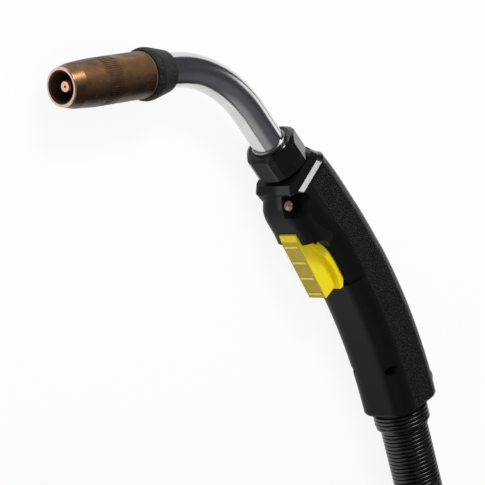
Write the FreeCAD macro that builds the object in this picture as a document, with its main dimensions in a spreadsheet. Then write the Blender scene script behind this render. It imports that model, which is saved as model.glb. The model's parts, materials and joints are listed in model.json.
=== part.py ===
import FreeCAD, Part
import math
import os
import re
import Sketcher

# A welding torch for wire feed welding: a bent metal neck with a copper
# nozzle at its front, clamped by a nut in the nose of a two-part moulded
# handle. Behind the handle the cable leaves through a coiled spring.
#
# Frame: the origin is the centre of the locking nut's front face, on the
# axis of the neck's straight stretch. +X runs back along that axis through
# the handle, -Y points to the side of the trigger and the nozzle, and +Z is
# up as the torch lies on its side. Lengths are millimetres.

Vector = FreeCAD.Vector
doc = FreeCAD.newDocument("WeldingTorch")
sheet = doc.addObject("Spreadsheet::Sheet", "Sizes")

SIZES = [
    # Neck
    ("neck_diameter", 19.05, "neck jacket, outside: three quarters of an inch"),
    ("jacket_wall", 1.2, "wall of the steel jacket"),
    ("insulation_diameter", 16.5, "insulating tube under the jacket, outside"),
    ("conductor_diameter", 12.7, "copper conductor tube, outside: half an inch"),
    ("conductor_bore", 6.8, "gas way through the conductor tube"),
    ("liner_diameter", 4.9, "wire conduit, outside"),
    ("liner_bore", 2.4, "wire conduit, inside"),
    ("neck_straight", 23.0, "from the nut's front face to the bend"),
    ("neck_bend_radius", 80.0, "bend radius of the neck's centre line"),
    ("neck_bend_angle", 52, "turn of the neck in degrees"),
    ("neck_reach", 83.3, "from the end of the bend to the nozzle's front face"),
    ("neck_depth", 37.5, "how far the neck reaches in behind the nut's front face"),
    # Nozzle and its insulating cap
    ("nozzle_length", 60.5, "nozzle, front face to rear edge"),
    ("nozzle_diameter", 25.4, "nozzle body, outside: one inch"),
    ("nozzle_tip_diameter", 20.6, "nozzle at its front face, outside"),
    ("nozzle_bore", 15.9, "nozzle's front bore: five eighths of an inch"),
    ("nozzle_inner", 21.4, "inside of the nozzle shell behind the front bore"),
    ("nozzle_taper", 22.0, "length of the nozzle's taper"),
    ("knurl_start", 23.5, "front edge of the knurled band"),
    ("knurl_length", 10.5, "width of the knurled band"),
    ("knurl_depth", 0.35, "depth of the knurl's grooves"),
    ("cap_length", 18.0, "insulating cap behind the nozzle"),
    ("cap_diameter", 28.8, "insulating cap at its widest"),
    ("cap_rear_diameter", 23.4, "insulating cap at its rear edge"),
    # Contact tip and gas diffuser
    ("tip_diameter", 8.0, "contact tip body"),
    ("tip_nose", 5.4, "contact tip at its front face"),
    ("tip_recess", 3.0, "contact tip's front behind the nozzle's front"),
    ("tip_length", 27.0, "contact tip in front of the diffuser"),
    ("tip_thread", 6.0, "contact tip's thread, outside"),
    ("wire_bore", 1.4, "bore of the contact tip"),
    ("diffuser_diameter", 13.8, "gas diffuser body"),
    ("diffuser_length", 28.0, "gas diffuser, front to shoulder"),
    ("gas_hole", 2.0, "gas holes of the diffuser"),
    # Locking nut and neck socket
    ("nut_length", 16.5, "locking nut"),
    ("nut_flats", 29.4, "locking nut across its six wide flats"),
    ("nut_corners", 31.6, "locking nut across its narrow corner faces"),
    ("nut_thread", 24.6, "thread between nut and neck socket, nut side"),
    ("nut_wall", 3.1, "front wall of the nut"),
    ("ferrule_diameter", 20.8, "grey ferrule on the neck, outside"),
    ("ferrule_length", 3.8, "grey ferrule along the neck"),
    ("socket_rear", 56.0, "rear end of the neck socket"),
    ("socket_diameter", 22.0, "neck socket behind its flange"),
    ("socket_flange", 25.8, "flange that the handle holds the socket by"),
    ("socket_flange_front", 23.5, "front of that flange"),
    ("socket_flange_width", 2.5, "width of that flange"),
    ("stud_diameter", 10.0, "brass tail that the cable is crimped on"),
    ("fit", 0.05, "radial clearance of running fits"),
    # Handle
    ("handle_front", 18.6, "front face of the handle"),
    ("shoulder", 26.4, "where the nose has widened to the full section"),
    ("handle_bend_start", 66.0, "where the handle starts to curve"),
    ("handle_bend_radius", 300.0, "radius of the handle's curve"),
    ("handle_bend_angle", 25.2, "turn of the handle in degrees"),
    ("handle_half_width", 17.3, "half the handle's width"),
    ("handle_top", 20.6, "back of the handle above its centre line"),
    ("handle_swell", 1.6, "how much higher the back is at the rear"),
    ("handle_bottom", 18.5, "trigger side of the handle"),
    ("handle_wall", 2.6, "wall of the handle shells"),
    ("handle_corner", 10.0, "corner radius of the handle's section"),
    ("scoop_bottom", 17.4, "trigger side beside the trigger"),
    ("scoop_corner", 13.5, "corner radius beside the trigger"),
    ("scoop_end", 99.5, "rear end of the hollow beside the trigger"),
    ("rear_bevel", 2.4, "bevel round the handle's rear face"),
    ("spine_start", 72.0, "front end of the raised spine"),
    ("spine_half_width", 10.0, "half the width of the raised spine"),
    ("spine_height", 1.2, "height of the raised spine"),
    ("heel_radius", 6.0, "rounded heel at the end of the spine"),
    ("heel_half_width", 9.0, "half the width of the heel"),
    ("heel_inset", 9.0, "heel in front of the handle's rear face"),
    ("heel_height", 3.4, "heel above the spine"),
    ("pod_bottom", 26.5, "lower face of the trigger's housing"),
    ("pod_half_width", 14.8, "half the width of the trigger's housing"),
    ("pod_corner", 8.0, "corner radius of the trigger's housing"),
    ("pod_hollow", 11.0, "radius of the hollow behind the trigger's housing"),
    ("pod_end", 65.5, "rear end of that hollow"),
    ("rear_wall", 4.0, "rear wall of the handle"),
    # Screws that hold the shells together
    ("front_screw_along", 31.1, "front screw, behind the nut's front face"),
    ("front_screw_down", 18.7, "front screw, below the neck's axis"),
    ("front_recess", 15.0, "round recess over the front screw"),
    ("rear_screw_along", 159.0, "rear screw, behind the nut's front face"),
    ("rear_screw_down", 30.1, "rear screw, below the neck's axis"),
    ("rear_recess", 6.2, "round recess over the rear screw"),
    ("screw_floor", 5.0, "floor of both recesses above the joint plane"),
    ("screw_head", 5.8, "screw head"),
    ("screw_head_height", 2.0, "screw head"),
    ("screw_shank", 3.0, "screw shank"),
    ("screw_length", 16.0, "screw under its head"),
    ("screw_nut_flats", 5.5, "nut across flats"),
    ("screw_nut_height", 2.4, "nut height"),
    ("screw_nut_top", 8.2, "nut's inner face below the joint plane"),
    # Trigger
    ("pivot_along", 50.0, "trigger pivot, behind the nut's front face"),
    ("pivot_down", 22.5, "trigger pivot, below the neck's axis"),
    ("pivot_pin", 3.0, "trigger pivot pin"),
    ("pivot_pin_length", 22.0, "trigger pivot pin"),
    ("trigger_half_width", 5.8, "half the width of the trigger's finger face"),
    ("trigger_skirt", 9.2, "half the width of the trigger's skirt"),
    ("trigger_rim", 1.8, "thickness of the rims that close the trigger's slot"),
    ("trigger_gap", 0.6, "clearance round the trigger in its slots"),
    ("trigger_front", 46.8, "front end of the trigger"),
    ("trigger_rear", 93.0, "rear end of the trigger"),
    ("trigger_face_front", 29.0, "finger face below the axis, at its front"),
    ("trigger_face_rear", 34.0, "finger face below the axis, at its rear"),
    ("trigger_rib", 0.5, "height of the cross ribs"),
    ("trigger_rib_width", 1.3, "width of the cross ribs"),
    ("trigger_rib_pitch", 11.5, "from one cross rib to the next"),
    # Switch
    ("switch_front", 60.0, "front end of the switch housing"),
    ("switch_length", 20.0, "switch housing"),
    ("switch_height", 8.0, "switch housing"),
    ("switch_width", 6.4, "switch housing"),
    ("switch_down", 14.4, "lower face of the switch housing"),
    ("plunger_along", 66.0, "plunger, behind the nut's front face"),
    ("plunger_out", 2.8, "plunger below the housing at rest"),
    ("plunger_length", 5.0, "plunger"),
    ("plunger_diameter", 3.0, "plunger"),
    ("switch_peg", 2.4, "pegs that hold the switch"),
    ("lead_diameter", 1.8, "trigger lead"),
    # Cable entry
    ("cable_diameter", 20.0, "torch cable"),
    ("crimp_diameter", 15.0, "crimped ferrule on the cable's copper"),
    ("cable_start", 96.0, "cut end of the cable's jacket inside the handle"),
    ("bush_nose_diameter", 29.56, "nose of the bush that carries the spring"),
    ("bush_nose", 7.6, "nose of the bush behind the handle"),
    ("bush_groove", 26.1, "groove of the bush in the handle's rear wall"),
    ("bush_flange", 28.6, "flange of the bush inside the handle"),
    # Spring round the cable
    ("spring_wire", 2.0, "wire of the spring"),
    ("spring_pitch", 2.45, "from one turn to the next"),
    ("spring_wide", 33.6, "spring over the bush, outside"),
    ("spring_narrow", 28.7, "spring over the cable, outside"),
    ("spring_turns", 39, "turns of the spring"),
    ("spring_wide_turns", 3.2, "turns over the bush"),
    ("spring_step_turns", 1.6, "turns from wide to narrow"),
    ("spring_start", 1.3, "first turn behind the handle's rear face"),
    # Cable on the surface
    ("cable_straight", 104.0, "cable from the handle's rear face to past the spring"),
    ("run_length", 30.0, "cable from there to the coil"),
    ("cable_drop", 75.0, "length in which the cable comes down to the surface"),
    ("coil_radius", 112.0, "centre line of the coil's outermost turn"),
    ("coil_turns", 4.452, "turns of the coil in its two layers"),
    ("coil_pitch", 20.6, "from one turn of the coil to the next"),
    ("coil_climb", 20.8, "from the lower layer to the upper"),
    ("coil_hump", 8.0, "rise of the last turn where it crosses the cable"),
    ("tail_length", 80.0, "cable from the coil to the plug's boot"),
    # Plug
    ("boot_length", 46.0, "bend relief boot behind the plug"),
    ("boot_diameter", 27.0, "boot where it enters the plug"),
    ("boot_tail", 23.0, "boot at its rear end"),
    ("cover_length", 84.0, "plug cover"),
    ("cover_diameter", 46.0, "plug cover"),
    ("cover_wall", 3.0, "wall of the plug cover"),
    ("plug_front", 120.0, "front face of the plug's insulating block"),
    ("ring_diameter", 52.0, "coupling ring of the plug"),
    ("ring_length", 32.0, "coupling ring of the plug"),
    ("ring_bore", 44.0, "inside of the coupling ring"),
    ("nipple_diameter", 11.8, "gas and wire nipple of the plug"),
    ("nipple_length", 26.0, "nipple in front of the insulating block"),
    ("pin_spread", 24.0, "between the plug's two control pins"),
    ("pin_diameter", 4.0, "control pin of the plug"),
]

for row, (alias, number, note) in enumerate(SIZES, start=1):
    sheet.set("A%d" % row, note)
    sheet.set("B%d" % row, str(number))
    sheet.setAlias("B%d" % row, alias)
doc.recompute()


def bound(text):
    """Write an expression on the sheet's aliases as the document reads it."""
    return re.sub(r"\b(?!pi\b)[a-z]\w*\b(?!\()", lambda word: "Sizes." + word.group(), text)


def value(text):
    """Work out an expression on the sheet's aliases."""
    return float(sheet.evalExpression(bound(text)))


def size(obj, **expressions):
    """Bind properties of a document object to expressions on the sheet."""
    for name, text in expressions.items():
        obj.setExpression(name, bound(text))
    return obj


# Places along the torch

IDENTITY = FreeCAD.Placement()
Z_AXIS = Vector(0, 0, 1)


def direction(degrees):
    """A unit vector in the torch's middle plane, turned from +X towards +Y."""
    angle = math.radians(degrees)
    return Vector(math.cos(angle), math.sin(angle), 0)


def turned_to(point, degrees):
    """A place whose own +X axis lies in the middle plane, turned from +X."""
    return FreeCAD.Placement(point, FreeCAD.Rotation(Z_AXIS, degrees))


bend = value("neck_bend_angle")
bend_start = Vector(-value("neck_straight"), 0, 0)
bend_centre = bend_start - Vector(0, value("neck_bend_radius"), 0)
bend_end = bend_centre + direction(90 + bend) * value("neck_bend_radius")
nozzle_front = bend_end - direction(bend) * value("neck_reach")
# A place on the nozzle's axis: +X runs back from the nozzle's front face.
NOZZLE = turned_to(nozzle_front, bend)


def spine(along):
    """Point and direction of the handle's centre line, along its length."""
    start = value("handle_bend_start")
    radius = value("handle_bend_radius")
    if along <= start:
        return Vector(along, 0, 0), 0.0
    angle = (along - start) / radius
    point = Vector(start + radius * math.sin(angle), radius * (math.cos(angle) - 1), 0)
    return point, math.degrees(angle)


handle_end = value("handle_bend_start") + value("handle_bend_radius") * math.radians(
    value("handle_bend_angle"))
end_point, end_turn = spine(handle_end)
# A place on the cable's axis: +X runs back from the handle's rear face.
REAR = turned_to(end_point, -end_turn)
surface = -value("handle_half_width")

pieces = {}


def piece(obj, label, place=None):
    """Name a finished sub-part, and put it in its place."""
    obj.Label = label
    if place is not None:
        obj.Placement = place
    pieces[label] = obj
    return obj


# Sketches

def pin_point(sketch, line, corner, x_text, y_text, name):
    """Tie one end of a line to its two coordinates on the sheet."""
    for kind, axis, text, tag in (("DistanceX", -2, x_text, "x"), ("DistanceY", -1, y_text, "y")):
        number = value(text)
        if abs(number) < 1e-9:
            sketch.addConstraint(Sketcher.Constraint("PointOnObject", line, corner, axis))
        else:
            index = sketch.addConstraint(
                Sketcher.Constraint(kind, -1, 1, line, corner, number))
            label = "%s_%s" % (name, tag)
            sketch.renameConstraint(index, label)
            sketch.setExpression("Constraints." + label, bound(text))


def outline(sketch, corners):
    """A closed outline of straight lines through corners given as expressions."""
    points = [Vector(value(x), value(y), 0) for x, y in corners]
    for first, second in zip(points, points[1:] + points[:1]):
        sketch.addGeometry(Part.LineSegment(first, second), False)
    count = len(points)
    for line in range(count):
        sketch.addConstraint(Sketcher.Constraint("Coincident", line, 2, (line + 1) % count, 1))
    for line, (x, y) in enumerate(corners):
        pin_point(sketch, line, 1, x, y, "corner%d" % line)


def body_sketch(body, name, role="XY_Plane"):
    """An empty sketch on one of a body's own origin planes."""
    sketch = body.newObject("Sketcher::SketchObject", name)
    plane = [item for item in body.Origin.OriginFeatures if item.Role == role][0]
    sketch.AttachmentSupport = [(plane, "")]
    sketch.MapMode = "FlatFace"
    return sketch


def lathe(name, corners):
    """A body turned about its own X axis; corners are (along, radius)."""
    body = doc.addObject("PartDesign::Body", name)
    sketch = body_sketch(body, name + "_outline")
    outline(sketch, corners)
    turn = body.newObject("PartDesign::Revolution", name + "_turn")
    turn.Profile = sketch
    turn.ReferenceAxis = (sketch, ["H_Axis"])
    turn.Angle = 360
    sketch.Visibility = False
    return body


def plate(name, corners, half_width):
    """A body padded both ways from the middle plane; corners are (x, y)."""
    body = doc.addObject("PartDesign::Body", name)
    sketch = body_sketch(body, name + "_outline")
    outline(sketch, corners)
    pad = body.newObject("PartDesign::Pad", name + "_pad")
    pad.Profile = sketch
    pad.Midplane = True
    size(pad, Length="2*(%s)" % half_width)
    return body


# Part primitives and booleans

def cylinder(name, radius, height, place=IDENTITY):
    """A round bar along its own Z axis."""
    bar = doc.addObject("Part::Cylinder", name)
    size(bar, Radius=radius, Height=height)
    bar.Placement = place
    return bar


def box(name, length, width, height, place=IDENTITY):
    """A block with its sides along X, Y and Z."""
    block = doc.addObject("Part::Box", name)
    size(block, Length=length, Width=width, Height=height)
    block.Placement = place
    return block


def fuse(name, *shapes):
    joined = doc.addObject("Part::MultiFuse", name)
    joined.Shapes = list(shapes)
    return joined


def common(name, *shapes):
    shared = doc.addObject("Part::MultiCommon", name)
    shared.Shapes = list(shapes)
    return shared


def cut(name, base, tool):
    result = doc.addObject("Part::Cut", name)
    result.Base = base
    result.Tool = tool
    return result


def at(x, y, z):
    """A place with no turn, from three expressions."""
    return FreeCAD.Placement(Vector(value(x), value(y), value(z)), FreeCAD.Rotation())


def solid(name, shape):
    """A sub-part whose shape is worked out here."""
    feature = doc.addObject("Part::Feature", name)
    feature.Shape = shape
    return feature


# Tubes and wires

def arc_edge(start, tangent, end):
    """The arc that leaves start along tangent and ends at end."""
    chord = end - start
    side = chord - tangent * chord.dot(tangent)
    if side.Length < 1e-7:
        return Part.LineSegment(start, end).toShape()
    side.normalize()
    radius = chord.dot(chord) / (2 * chord.dot(side))
    centre = start + side * radius
    middle = (start - centre) + (end - centre)
    middle.normalize()
    return Part.Arc(start, centre + middle * radius, end).toShape()


def biarc(start, first, end, last):
    """Two arcs that join start to end with the given directions."""
    chord = end - start
    both = first + last
    spread = 2 * (1 - first.dot(last))
    if spread < 1e-9:
        return [Part.LineSegment(start, end).toShape()]
    reach = chord.dot(both)
    length = (-reach + math.sqrt(reach * reach + spread * chord.dot(chord))) / spread
    middle = (start + end + (first - last) * length) * 0.5
    turn = (middle - start - first * length) * 2
    joint = middle - (start + first * length)
    joint.normalize()
    return [arc_edge(start, first, middle), arc_edge(middle, joint, end)]


def biarc_path(points, tangents):
    """One smooth path through points, by two arcs between neighbours."""
    edges = []
    for index in range(len(points) - 1):
        edges += biarc(points[index], tangents[index], points[index + 1], tangents[index + 1])
    return edges


def rounded_path(points, name):
    """Straight runs joined by tangent arcs as large as the runs allow."""
    edges = []
    start = points[0]
    radii = []
    for before, corner, after in zip(points, points[1:], points[2:]):
        into = corner - before
        out = after - corner
        shorter = min(into.Length, out.Length)
        into.normalize()
        out.normalize()
        half_turn = into.getAngle(out) / 2
        reach = 0.45 * shorter
        radii.append(reach / math.tan(half_turn))
        entry = corner - into * reach
        leave = corner + out * reach
        edges.append(Part.LineSegment(start, entry).toShape())
        edges.append(arc_edge(entry, into, leave))
        start = leave
    edges.append(Part.LineSegment(start, points[-1]).toShape())
    print(name, "arc radii", [round(radius) for radius in radii])
    return edges


def tube(edges, outer, inner=0.0):
    """A round bar, or a pipe, along a path."""
    path = Part.Wire(edges)
    start = path.Edges[0].valueAt(path.Edges[0].FirstParameter)
    heading = path.Edges[0].tangentAt(path.Edges[0].FirstParameter)

    def swept(radius):
        ring = Part.Wire([Part.Circle(start, heading, radius).toShape()])
        return path.makePipeShell([ring], True, False)

    bar = swept(outer)
    if inner:
        bar = bar.cut(swept(inner))
    return bar


def least_gap(points, diameter, skip):
    """The least distance between turns of a path sampled as points."""
    least = 1e9
    for index, point in enumerate(points):
        for other in points[index + skip:]:
            least = min(least, point.distanceToPoint(other))
    return least - diameter


# Neck

def neck_path(rear, front):
    """The neck's centre line, from a point behind the nut to one behind the nozzle's front."""
    front_end = nozzle_front + direction(bend) * front
    middle = bend_centre + direction(90 + bend / 2) * value("neck_bend_radius")
    return [
        Part.LineSegment(Vector(rear, 0, 0), bend_start).toShape(),
        Part.Arc(bend_start, middle, bend_end).toShape(),
        Part.LineSegment(bend_end, front_end).toShape(),
    ]


def make_neck():
    depth = value("neck_depth")
    cap_front = value("nozzle_length")
    jacket = value("neck_diameter/2")
    inside = jacket - value("jacket_wall")
    insulation = value("insulation_diameter/2")
    conductor = value("conductor_diameter/2")
    piece(solid("Jacket", tube(neck_path(depth, cap_front + 6), jacket, inside)), "neck_jacket")
    piece(solid("Insulation", tube(neck_path(depth, cap_front + 2), insulation,
                                   conductor + value("fit"))), "neck_insulation")
    diffuser_rear = value("tip_recess + tip_length + 0.1 + diffuser_length")
    piece(solid("Conductor", tube(neck_path(depth + 13, diffuser_rear), conductor,
                                  value("conductor_bore/2"))), "neck_conductor")
    piece(solid("Liner", tube(neck_path(depth + 12, cap_front - 12), value("liner_diameter/2"),
                              value("liner_bore/2"))), "neck_liner")
    ferrule = lathe("Ferrule", [
        ("2 - ferrule_length", "neck_diameter/2"), ("2 - ferrule_length", "ferrule_diameter/2 - 0.5"),
        ("2.5 - ferrule_length", "ferrule_diameter/2"), ("1.6", "ferrule_diameter/2"),
        ("1.6", "neck_diameter/2")])
    piece(ferrule, "neck_ferrule")


def make_cap():
    """The black insulating cap, wide at its front and tapered to the rear."""
    cap = lathe("EndCap", [
        ("nozzle_length + 0.2", "conductor_diameter/2 + 1.2"),
        ("nozzle_length + 0.2", "cap_diameter/2 - 1.0"),
        ("nozzle_length + 1.2", "cap_diameter/2 - 0.3"),
        ("nozzle_length + 3.0", "cap_diameter/2"),
        ("nozzle_length + 5.2", "cap_diameter/2 - 0.2"),
        ("nozzle_length + cap_length - 1", "cap_rear_diameter/2"),
        ("nozzle_length + cap_length", "cap_rear_diameter/2 - 0.8"),
        ("nozzle_length + cap_length", "neck_diameter/2 + 0.7"),
        ("nozzle_length + cap_length - 7", "neck_diameter/2"),
        ("nozzle_length + 6", "neck_diameter/2"),
        ("nozzle_length + 6", "insulation_diameter/2"),
        ("nozzle_length + 2", "insulation_diameter/2"),
        ("nozzle_length + 2", "conductor_diameter/2 + 1.2")])
    piece(cap, "nozzle_end_cap", NOZZLE)


def make_nozzle():
    """The copper shell with its knurled band, its sleeve and threaded insert."""
    shell = lathe("NozzleShell", [
        ("1.2", "nozzle_bore/2"), ("0", "nozzle_bore/2 + 0.9"),
        ("0", "nozzle_tip_diameter/2 - 0.4"),
        ("0.4", "nozzle_tip_diameter/2"),
        ("nozzle_taper*0.35", "(nozzle_tip_diameter + nozzle_diameter)/4 + 0.35"),
        ("nozzle_taper*0.72", "nozzle_diameter/2 - 0.35"),
        ("nozzle_taper", "nozzle_diameter/2"),
        ("nozzle_length - 0.6", "nozzle_diameter/2"),
        ("nozzle_length", "nozzle_diameter/2 - 0.6"),
        ("nozzle_length", "nozzle_inner/2"),
        ("nozzle_taper + 4", "nozzle_inner/2"),
        ("nozzle_taper", "nozzle_bore/2")])
    groove_sketch = body_sketch(shell, "KnurlOutline", "XZ_Plane")
    half = "0.25"
    outline(groove_sketch, [
        ("knurl_start", "nozzle_diameter/2 - knurl_depth"),
        ("knurl_start + knurl_length", "nozzle_diameter/2 - knurl_depth"),
        ("knurl_start + knurl_length", "nozzle_diameter/2 + 1"),
        ("knurl_start", "nozzle_diameter/2 + 1")])
    band = shell.newObject("PartDesign::Pocket", "KnurlGroove")
    band.Profile = groove_sketch
    band.Midplane = True
    size(band, Length="2*%s" % half)
    pattern = shell.newObject("PartDesign::PolarPattern", "Knurl")
    pattern.Originals = [band]
    x_axis = [item for item in shell.Origin.OriginFeatures if item.Role == "X_Axis"][0]
    pattern.Axis = (x_axis, [""])
    pattern.Angle = 360
    pattern.Occurrences = 60
    shell.Tip = pattern
    piece(shell, "nozzle_shell", NOZZLE)
    sleeve = lathe("NozzleSleeve", [
        ("nozzle_taper + 4.2", "nozzle_bore/2 + 0.3"), ("nozzle_taper + 4.2", "nozzle_inner/2"),
        ("nozzle_length - 1", "nozzle_inner/2"), ("nozzle_length - 1", "nozzle_bore/2 + 0.3")])
    piece(sleeve, "nozzle_insulator", NOZZLE)
    insert = lathe("NozzleInsert", [
        ("nozzle_length - 14", "diffuser_diameter/2 + 0.4 + fit"),
        ("nozzle_length - 14", "nozzle_bore/2 + 0.3"),
        ("nozzle_length - 1", "nozzle_bore/2 + 0.3"),
        ("nozzle_length - 1", "diffuser_diameter/2 + 0.4 + fit")])
    piece(insert, "nozzle_insert", NOZZLE)


def make_front_end():
    """The contact tip and the diffuser that it screws into."""
    seat = "tip_recess + tip_length"
    tip = lathe("ContactTip", [
        ("tip_recess", "wire_bore/2"), ("tip_recess", "tip_nose/2"),
        ("tip_recess + 0.8", "tip_nose/2 + 0.7"), ("tip_recess + 4", "tip_diameter/2"),
        (seat, "tip_diameter/2"), (seat, "tip_thread/2"),
        (seat + " + 7", "tip_thread/2"), (seat + " + 8", "tip_thread/2 - 0.8"),
        (seat + " + 8", "wire_bore/2")])
    piece(tip, "contact_tip", NOZZLE)
    front = seat + " + 0.1"
    shoulder = front + " + diffuser_length"
    diffuser = lathe("Diffuser", [
        (front, "tip_thread/2 + fit"), (front, "tip_diameter/2 + 0.8"),
        (front + " + 3", "diffuser_diameter/2 - 0.6"), (front + " + 12", "diffuser_diameter/2 - 0.6"),
        (front + " + 12", "diffuser_diameter/2 + 0.4"), (shoulder, "diffuser_diameter/2 + 0.4"),
        (shoulder, "liner_diameter/2"), (front + " + 10", "liner_diameter/2"),
        (front + " + 10", "tip_thread/2 + fit")])
    hole_sketch = body_sketch(diffuser, "GasHoleOutline", "XZ_Plane")
    hole_sketch.addGeometry(Part.Circle(Vector(value(front + " + 6"), 0, 0), Z_AXIS,
                                        value("gas_hole/2")), False)
    radius = hole_sketch.addConstraint(Sketcher.Constraint("Radius", 0, value("gas_hole/2")))
    hole_sketch.renameConstraint(radius, "hole")
    hole_sketch.setExpression("Constraints.hole", bound("gas_hole/2"))
    pin_point(hole_sketch, 0, 3, front + " + 6", "0", "centre")
    hole = diffuser.newObject("PartDesign::Pocket", "GasHole")
    hole.Profile = hole_sketch
    hole.Midplane = True
    size(hole, Length="2*diffuser_diameter")
    ring = diffuser.newObject("PartDesign::PolarPattern", "GasHoles")
    ring.Originals = [hole]
    x_axis = [item for item in diffuser.Origin.OriginFeatures if item.Role == "X_Axis"][0]
    ring.Axis = (x_axis, [""])
    ring.Angle = 180
    ring.Occurrences = 4
    diffuser.Tip = ring
    piece(diffuser, "gas_diffuser", NOZZLE)


# Locking nut, collet and socket

def make_nut():
    """Six wide flats with narrow faces on the corners, bevelled at both ends."""
    along_x = FreeCAD.Placement(Vector(0, 0, 0), FreeCAD.Rotation(Vector(0, 1, 0), 90))
    wide = doc.addObject("Part::Prism", "NutFlats")
    wide.Polygon = 6
    size(wide, Circumradius="nut_flats/2/cos(30)", Height="nut_length")
    wide.Placement = along_x
    narrow = doc.addObject("Part::Prism", "NutCorners")
    narrow.Polygon = 6
    size(narrow, Circumradius="nut_corners/2/cos(30)", Height="nut_length")
    narrow.Placement = along_x.multiply(
        FreeCAD.Placement(Vector(0, 0, 0), FreeCAD.Rotation(Z_AXIS, 30)))
    bevel = lathe("NutBevel", [
        ("0", "0"), ("0", "nut_flats/2 - 1.6"), ("2.2", "nut_corners/2 + 0.6"),
        ("nut_length - 1.4", "nut_corners/2 + 0.6"), ("nut_length", "nut_flats/2 - 0.6"),
        ("nut_length", "0")])
    bore = lathe("NutBore", [
        ("-1", "0"), ("-1", "ferrule_diameter/2 + 0.25"), ("1.7", "ferrule_diameter/2 + 0.25"),
        ("nut_wall", "nut_thread/2"), ("nut_length + 1", "nut_thread/2"), ("nut_length + 1", "0")])
    blank = common("NutBlank", wide, narrow, bevel)
    nut = cut("Nut", blank, bore)
    piece(nut, "locking_nut")


def make_socket():
    """The brass socket held in the handle's nose, its collet and its seal."""
    flange = "socket_flange_front"
    behind = "socket_flange_front + socket_flange_width"
    thread = "nut_thread/2 - fit"
    socket = lathe("Socket", [
        ("4.2", "neck_diameter/2 + 2.05"), ("4.2", thread), (flange, thread),
        (flange, "socket_flange/2"), (behind, "socket_flange/2"), (behind, "socket_diameter/2"),
        ("socket_rear", "socket_diameter/2"), ("socket_rear", "stud_diameter/2"),
        ("neck_depth + 14", "stud_diameter/2"), ("neck_depth + 14", "conductor_diameter/2 + fit"),
        ("neck_depth + 1", "conductor_diameter/2 + fit"), ("neck_depth + 1", "neck_diameter/2 + fit"),
        ("8.2", "neck_diameter/2 + fit"), ("8.2", "neck_diameter/2 + 0.45")])
    groove = lathe("SealGroove", [
        ("20.2", "neck_diameter/2 - 1"), ("20.2", "neck_diameter/2 + fit + 1.42"),
        ("21.8", "neck_diameter/2 + fit + 1.42"), ("21.8", "neck_diameter/2 - 1")])
    piece(cut("SocketGrooved", socket, groove), "neck_socket")
    seal = doc.addObject("Part::Torus", "SealRing")
    size(seal, Radius1="neck_diameter/2 + fit + 0.7", Radius2="0.7")
    piece(seal, "neck_seal_ring", FreeCAD.Placement(
        Vector(21, 0, 0), FreeCAD.Rotation(Vector(0, 1, 0), 90)))
    collet = lathe("ColletRing", [
        ("3.4", "neck_diameter/2 + fit"), ("3.4", "neck_diameter/2 + 1.9"),
        ("4.1", "neck_diameter/2 + 1.9"), ("8.1", "neck_diameter/2 + 0.35"),
        ("8.1", "neck_diameter/2 + fit")])
    slit = box("ColletSlit", "8", "1.2", "4", at("2", "-0.6", "neck_diameter/2 - 1"))
    piece(cut("Collet", collet, slit), "clamp_collet")


# Handle

def station(name, along, half_width, top, bottom, top_radius, bottom_radius):
    """A rounded section of the handle, square to its centre line."""
    point, turn = spine(value(along))
    up = direction(90 - turn)
    sketch = doc.addObject("Sketcher::SketchObject", name)
    sketch.Placement = FreeCAD.Placement(
        point, FreeCAD.Rotation(Z_AXIS, up, up.cross(Z_AXIS) * -1, "ZXY"))
    left = "-(%s)" % half_width
    right = "(%s)" % half_width
    low = "-(%s)" % bottom
    high = "(%s)" % top
    upper = "(%s)" % top_radius
    lower = "(%s)" % bottom_radius
    # Each corner gives the end of one line and the start of the next.
    ends = [
        (right, "%s + %s" % (low, lower), right, "%s - %s" % (high, upper)),
        ("%s - %s" % (right, upper), high, "%s + %s" % (left, upper), high),
        (left, "%s - %s" % (high, upper), left, "%s + %s" % (low, lower)),
        ("%s + %s" % (left, lower), low, "%s - %s" % (right, lower), low),
    ]
    centres = [
        ("%s - %s" % (right, upper), "%s - %s" % (high, upper), upper, 0),
        ("%s + %s" % (left, upper), "%s - %s" % (high, upper), upper, 90),
        ("%s + %s" % (left, lower), "%s + %s" % (low, lower), lower, 180),
        ("%s - %s" % (right, lower), "%s + %s" % (low, lower), lower, 270),
    ]
    for x0, y0, x1, y1 in ends:
        sketch.addGeometry(Part.LineSegment(
            Vector(value(x0), value(y0), 0), Vector(value(x1), value(y1), 0)), False)
    for x, y, radius, start in centres:
        circle = Part.Circle(Vector(value(x), value(y), 0), Z_AXIS, value(radius))
        sketch.addGeometry(Part.ArcOfCircle(
            circle, math.radians(start), math.radians(start + 90)), False)
    for line in range(4):
        sketch.addConstraint(Sketcher.Constraint("Coincident", line, 2, line + 4, 1))
        sketch.addConstraint(Sketcher.Constraint("Coincident", line + 4, 2, (line + 1) % 4, 1))
    for line, (x0, y0, x1, y1) in enumerate(ends):
        pin_point(sketch, line, 1, x0, y0, "start%d" % line)
        pin_point(sketch, line, 2, x1, y1, "end%d" % line)
    for arc, (x, y, radius, start) in enumerate(centres, start=4):
        index = sketch.addConstraint(Sketcher.Constraint("Radius", arc, value(radius)))
        sketch.renameConstraint(index, "radius%d" % arc)
        sketch.setExpression("Constraints.radius%d" % arc, bound(radius))
    return sketch


def loft(name, sections, ruled=False):
    """A solid through its sections, smooth or with straight sides."""
    skin = doc.addObject("Part::Loft", name)
    skin.Sections = sections
    skin.Solid = True
    skin.Ruled = ruled
    return skin


handle_end_text = "handle_bend_start + handle_bend_radius*handle_bend_angle*pi/180"


def full_station(name, along, half_width="handle_half_width", top="handle_top",
                 bottom="handle_bottom", radius="handle_corner", lower="handle_corner"):
    return station(name, along, half_width, top, bottom, radius, lower)


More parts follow.
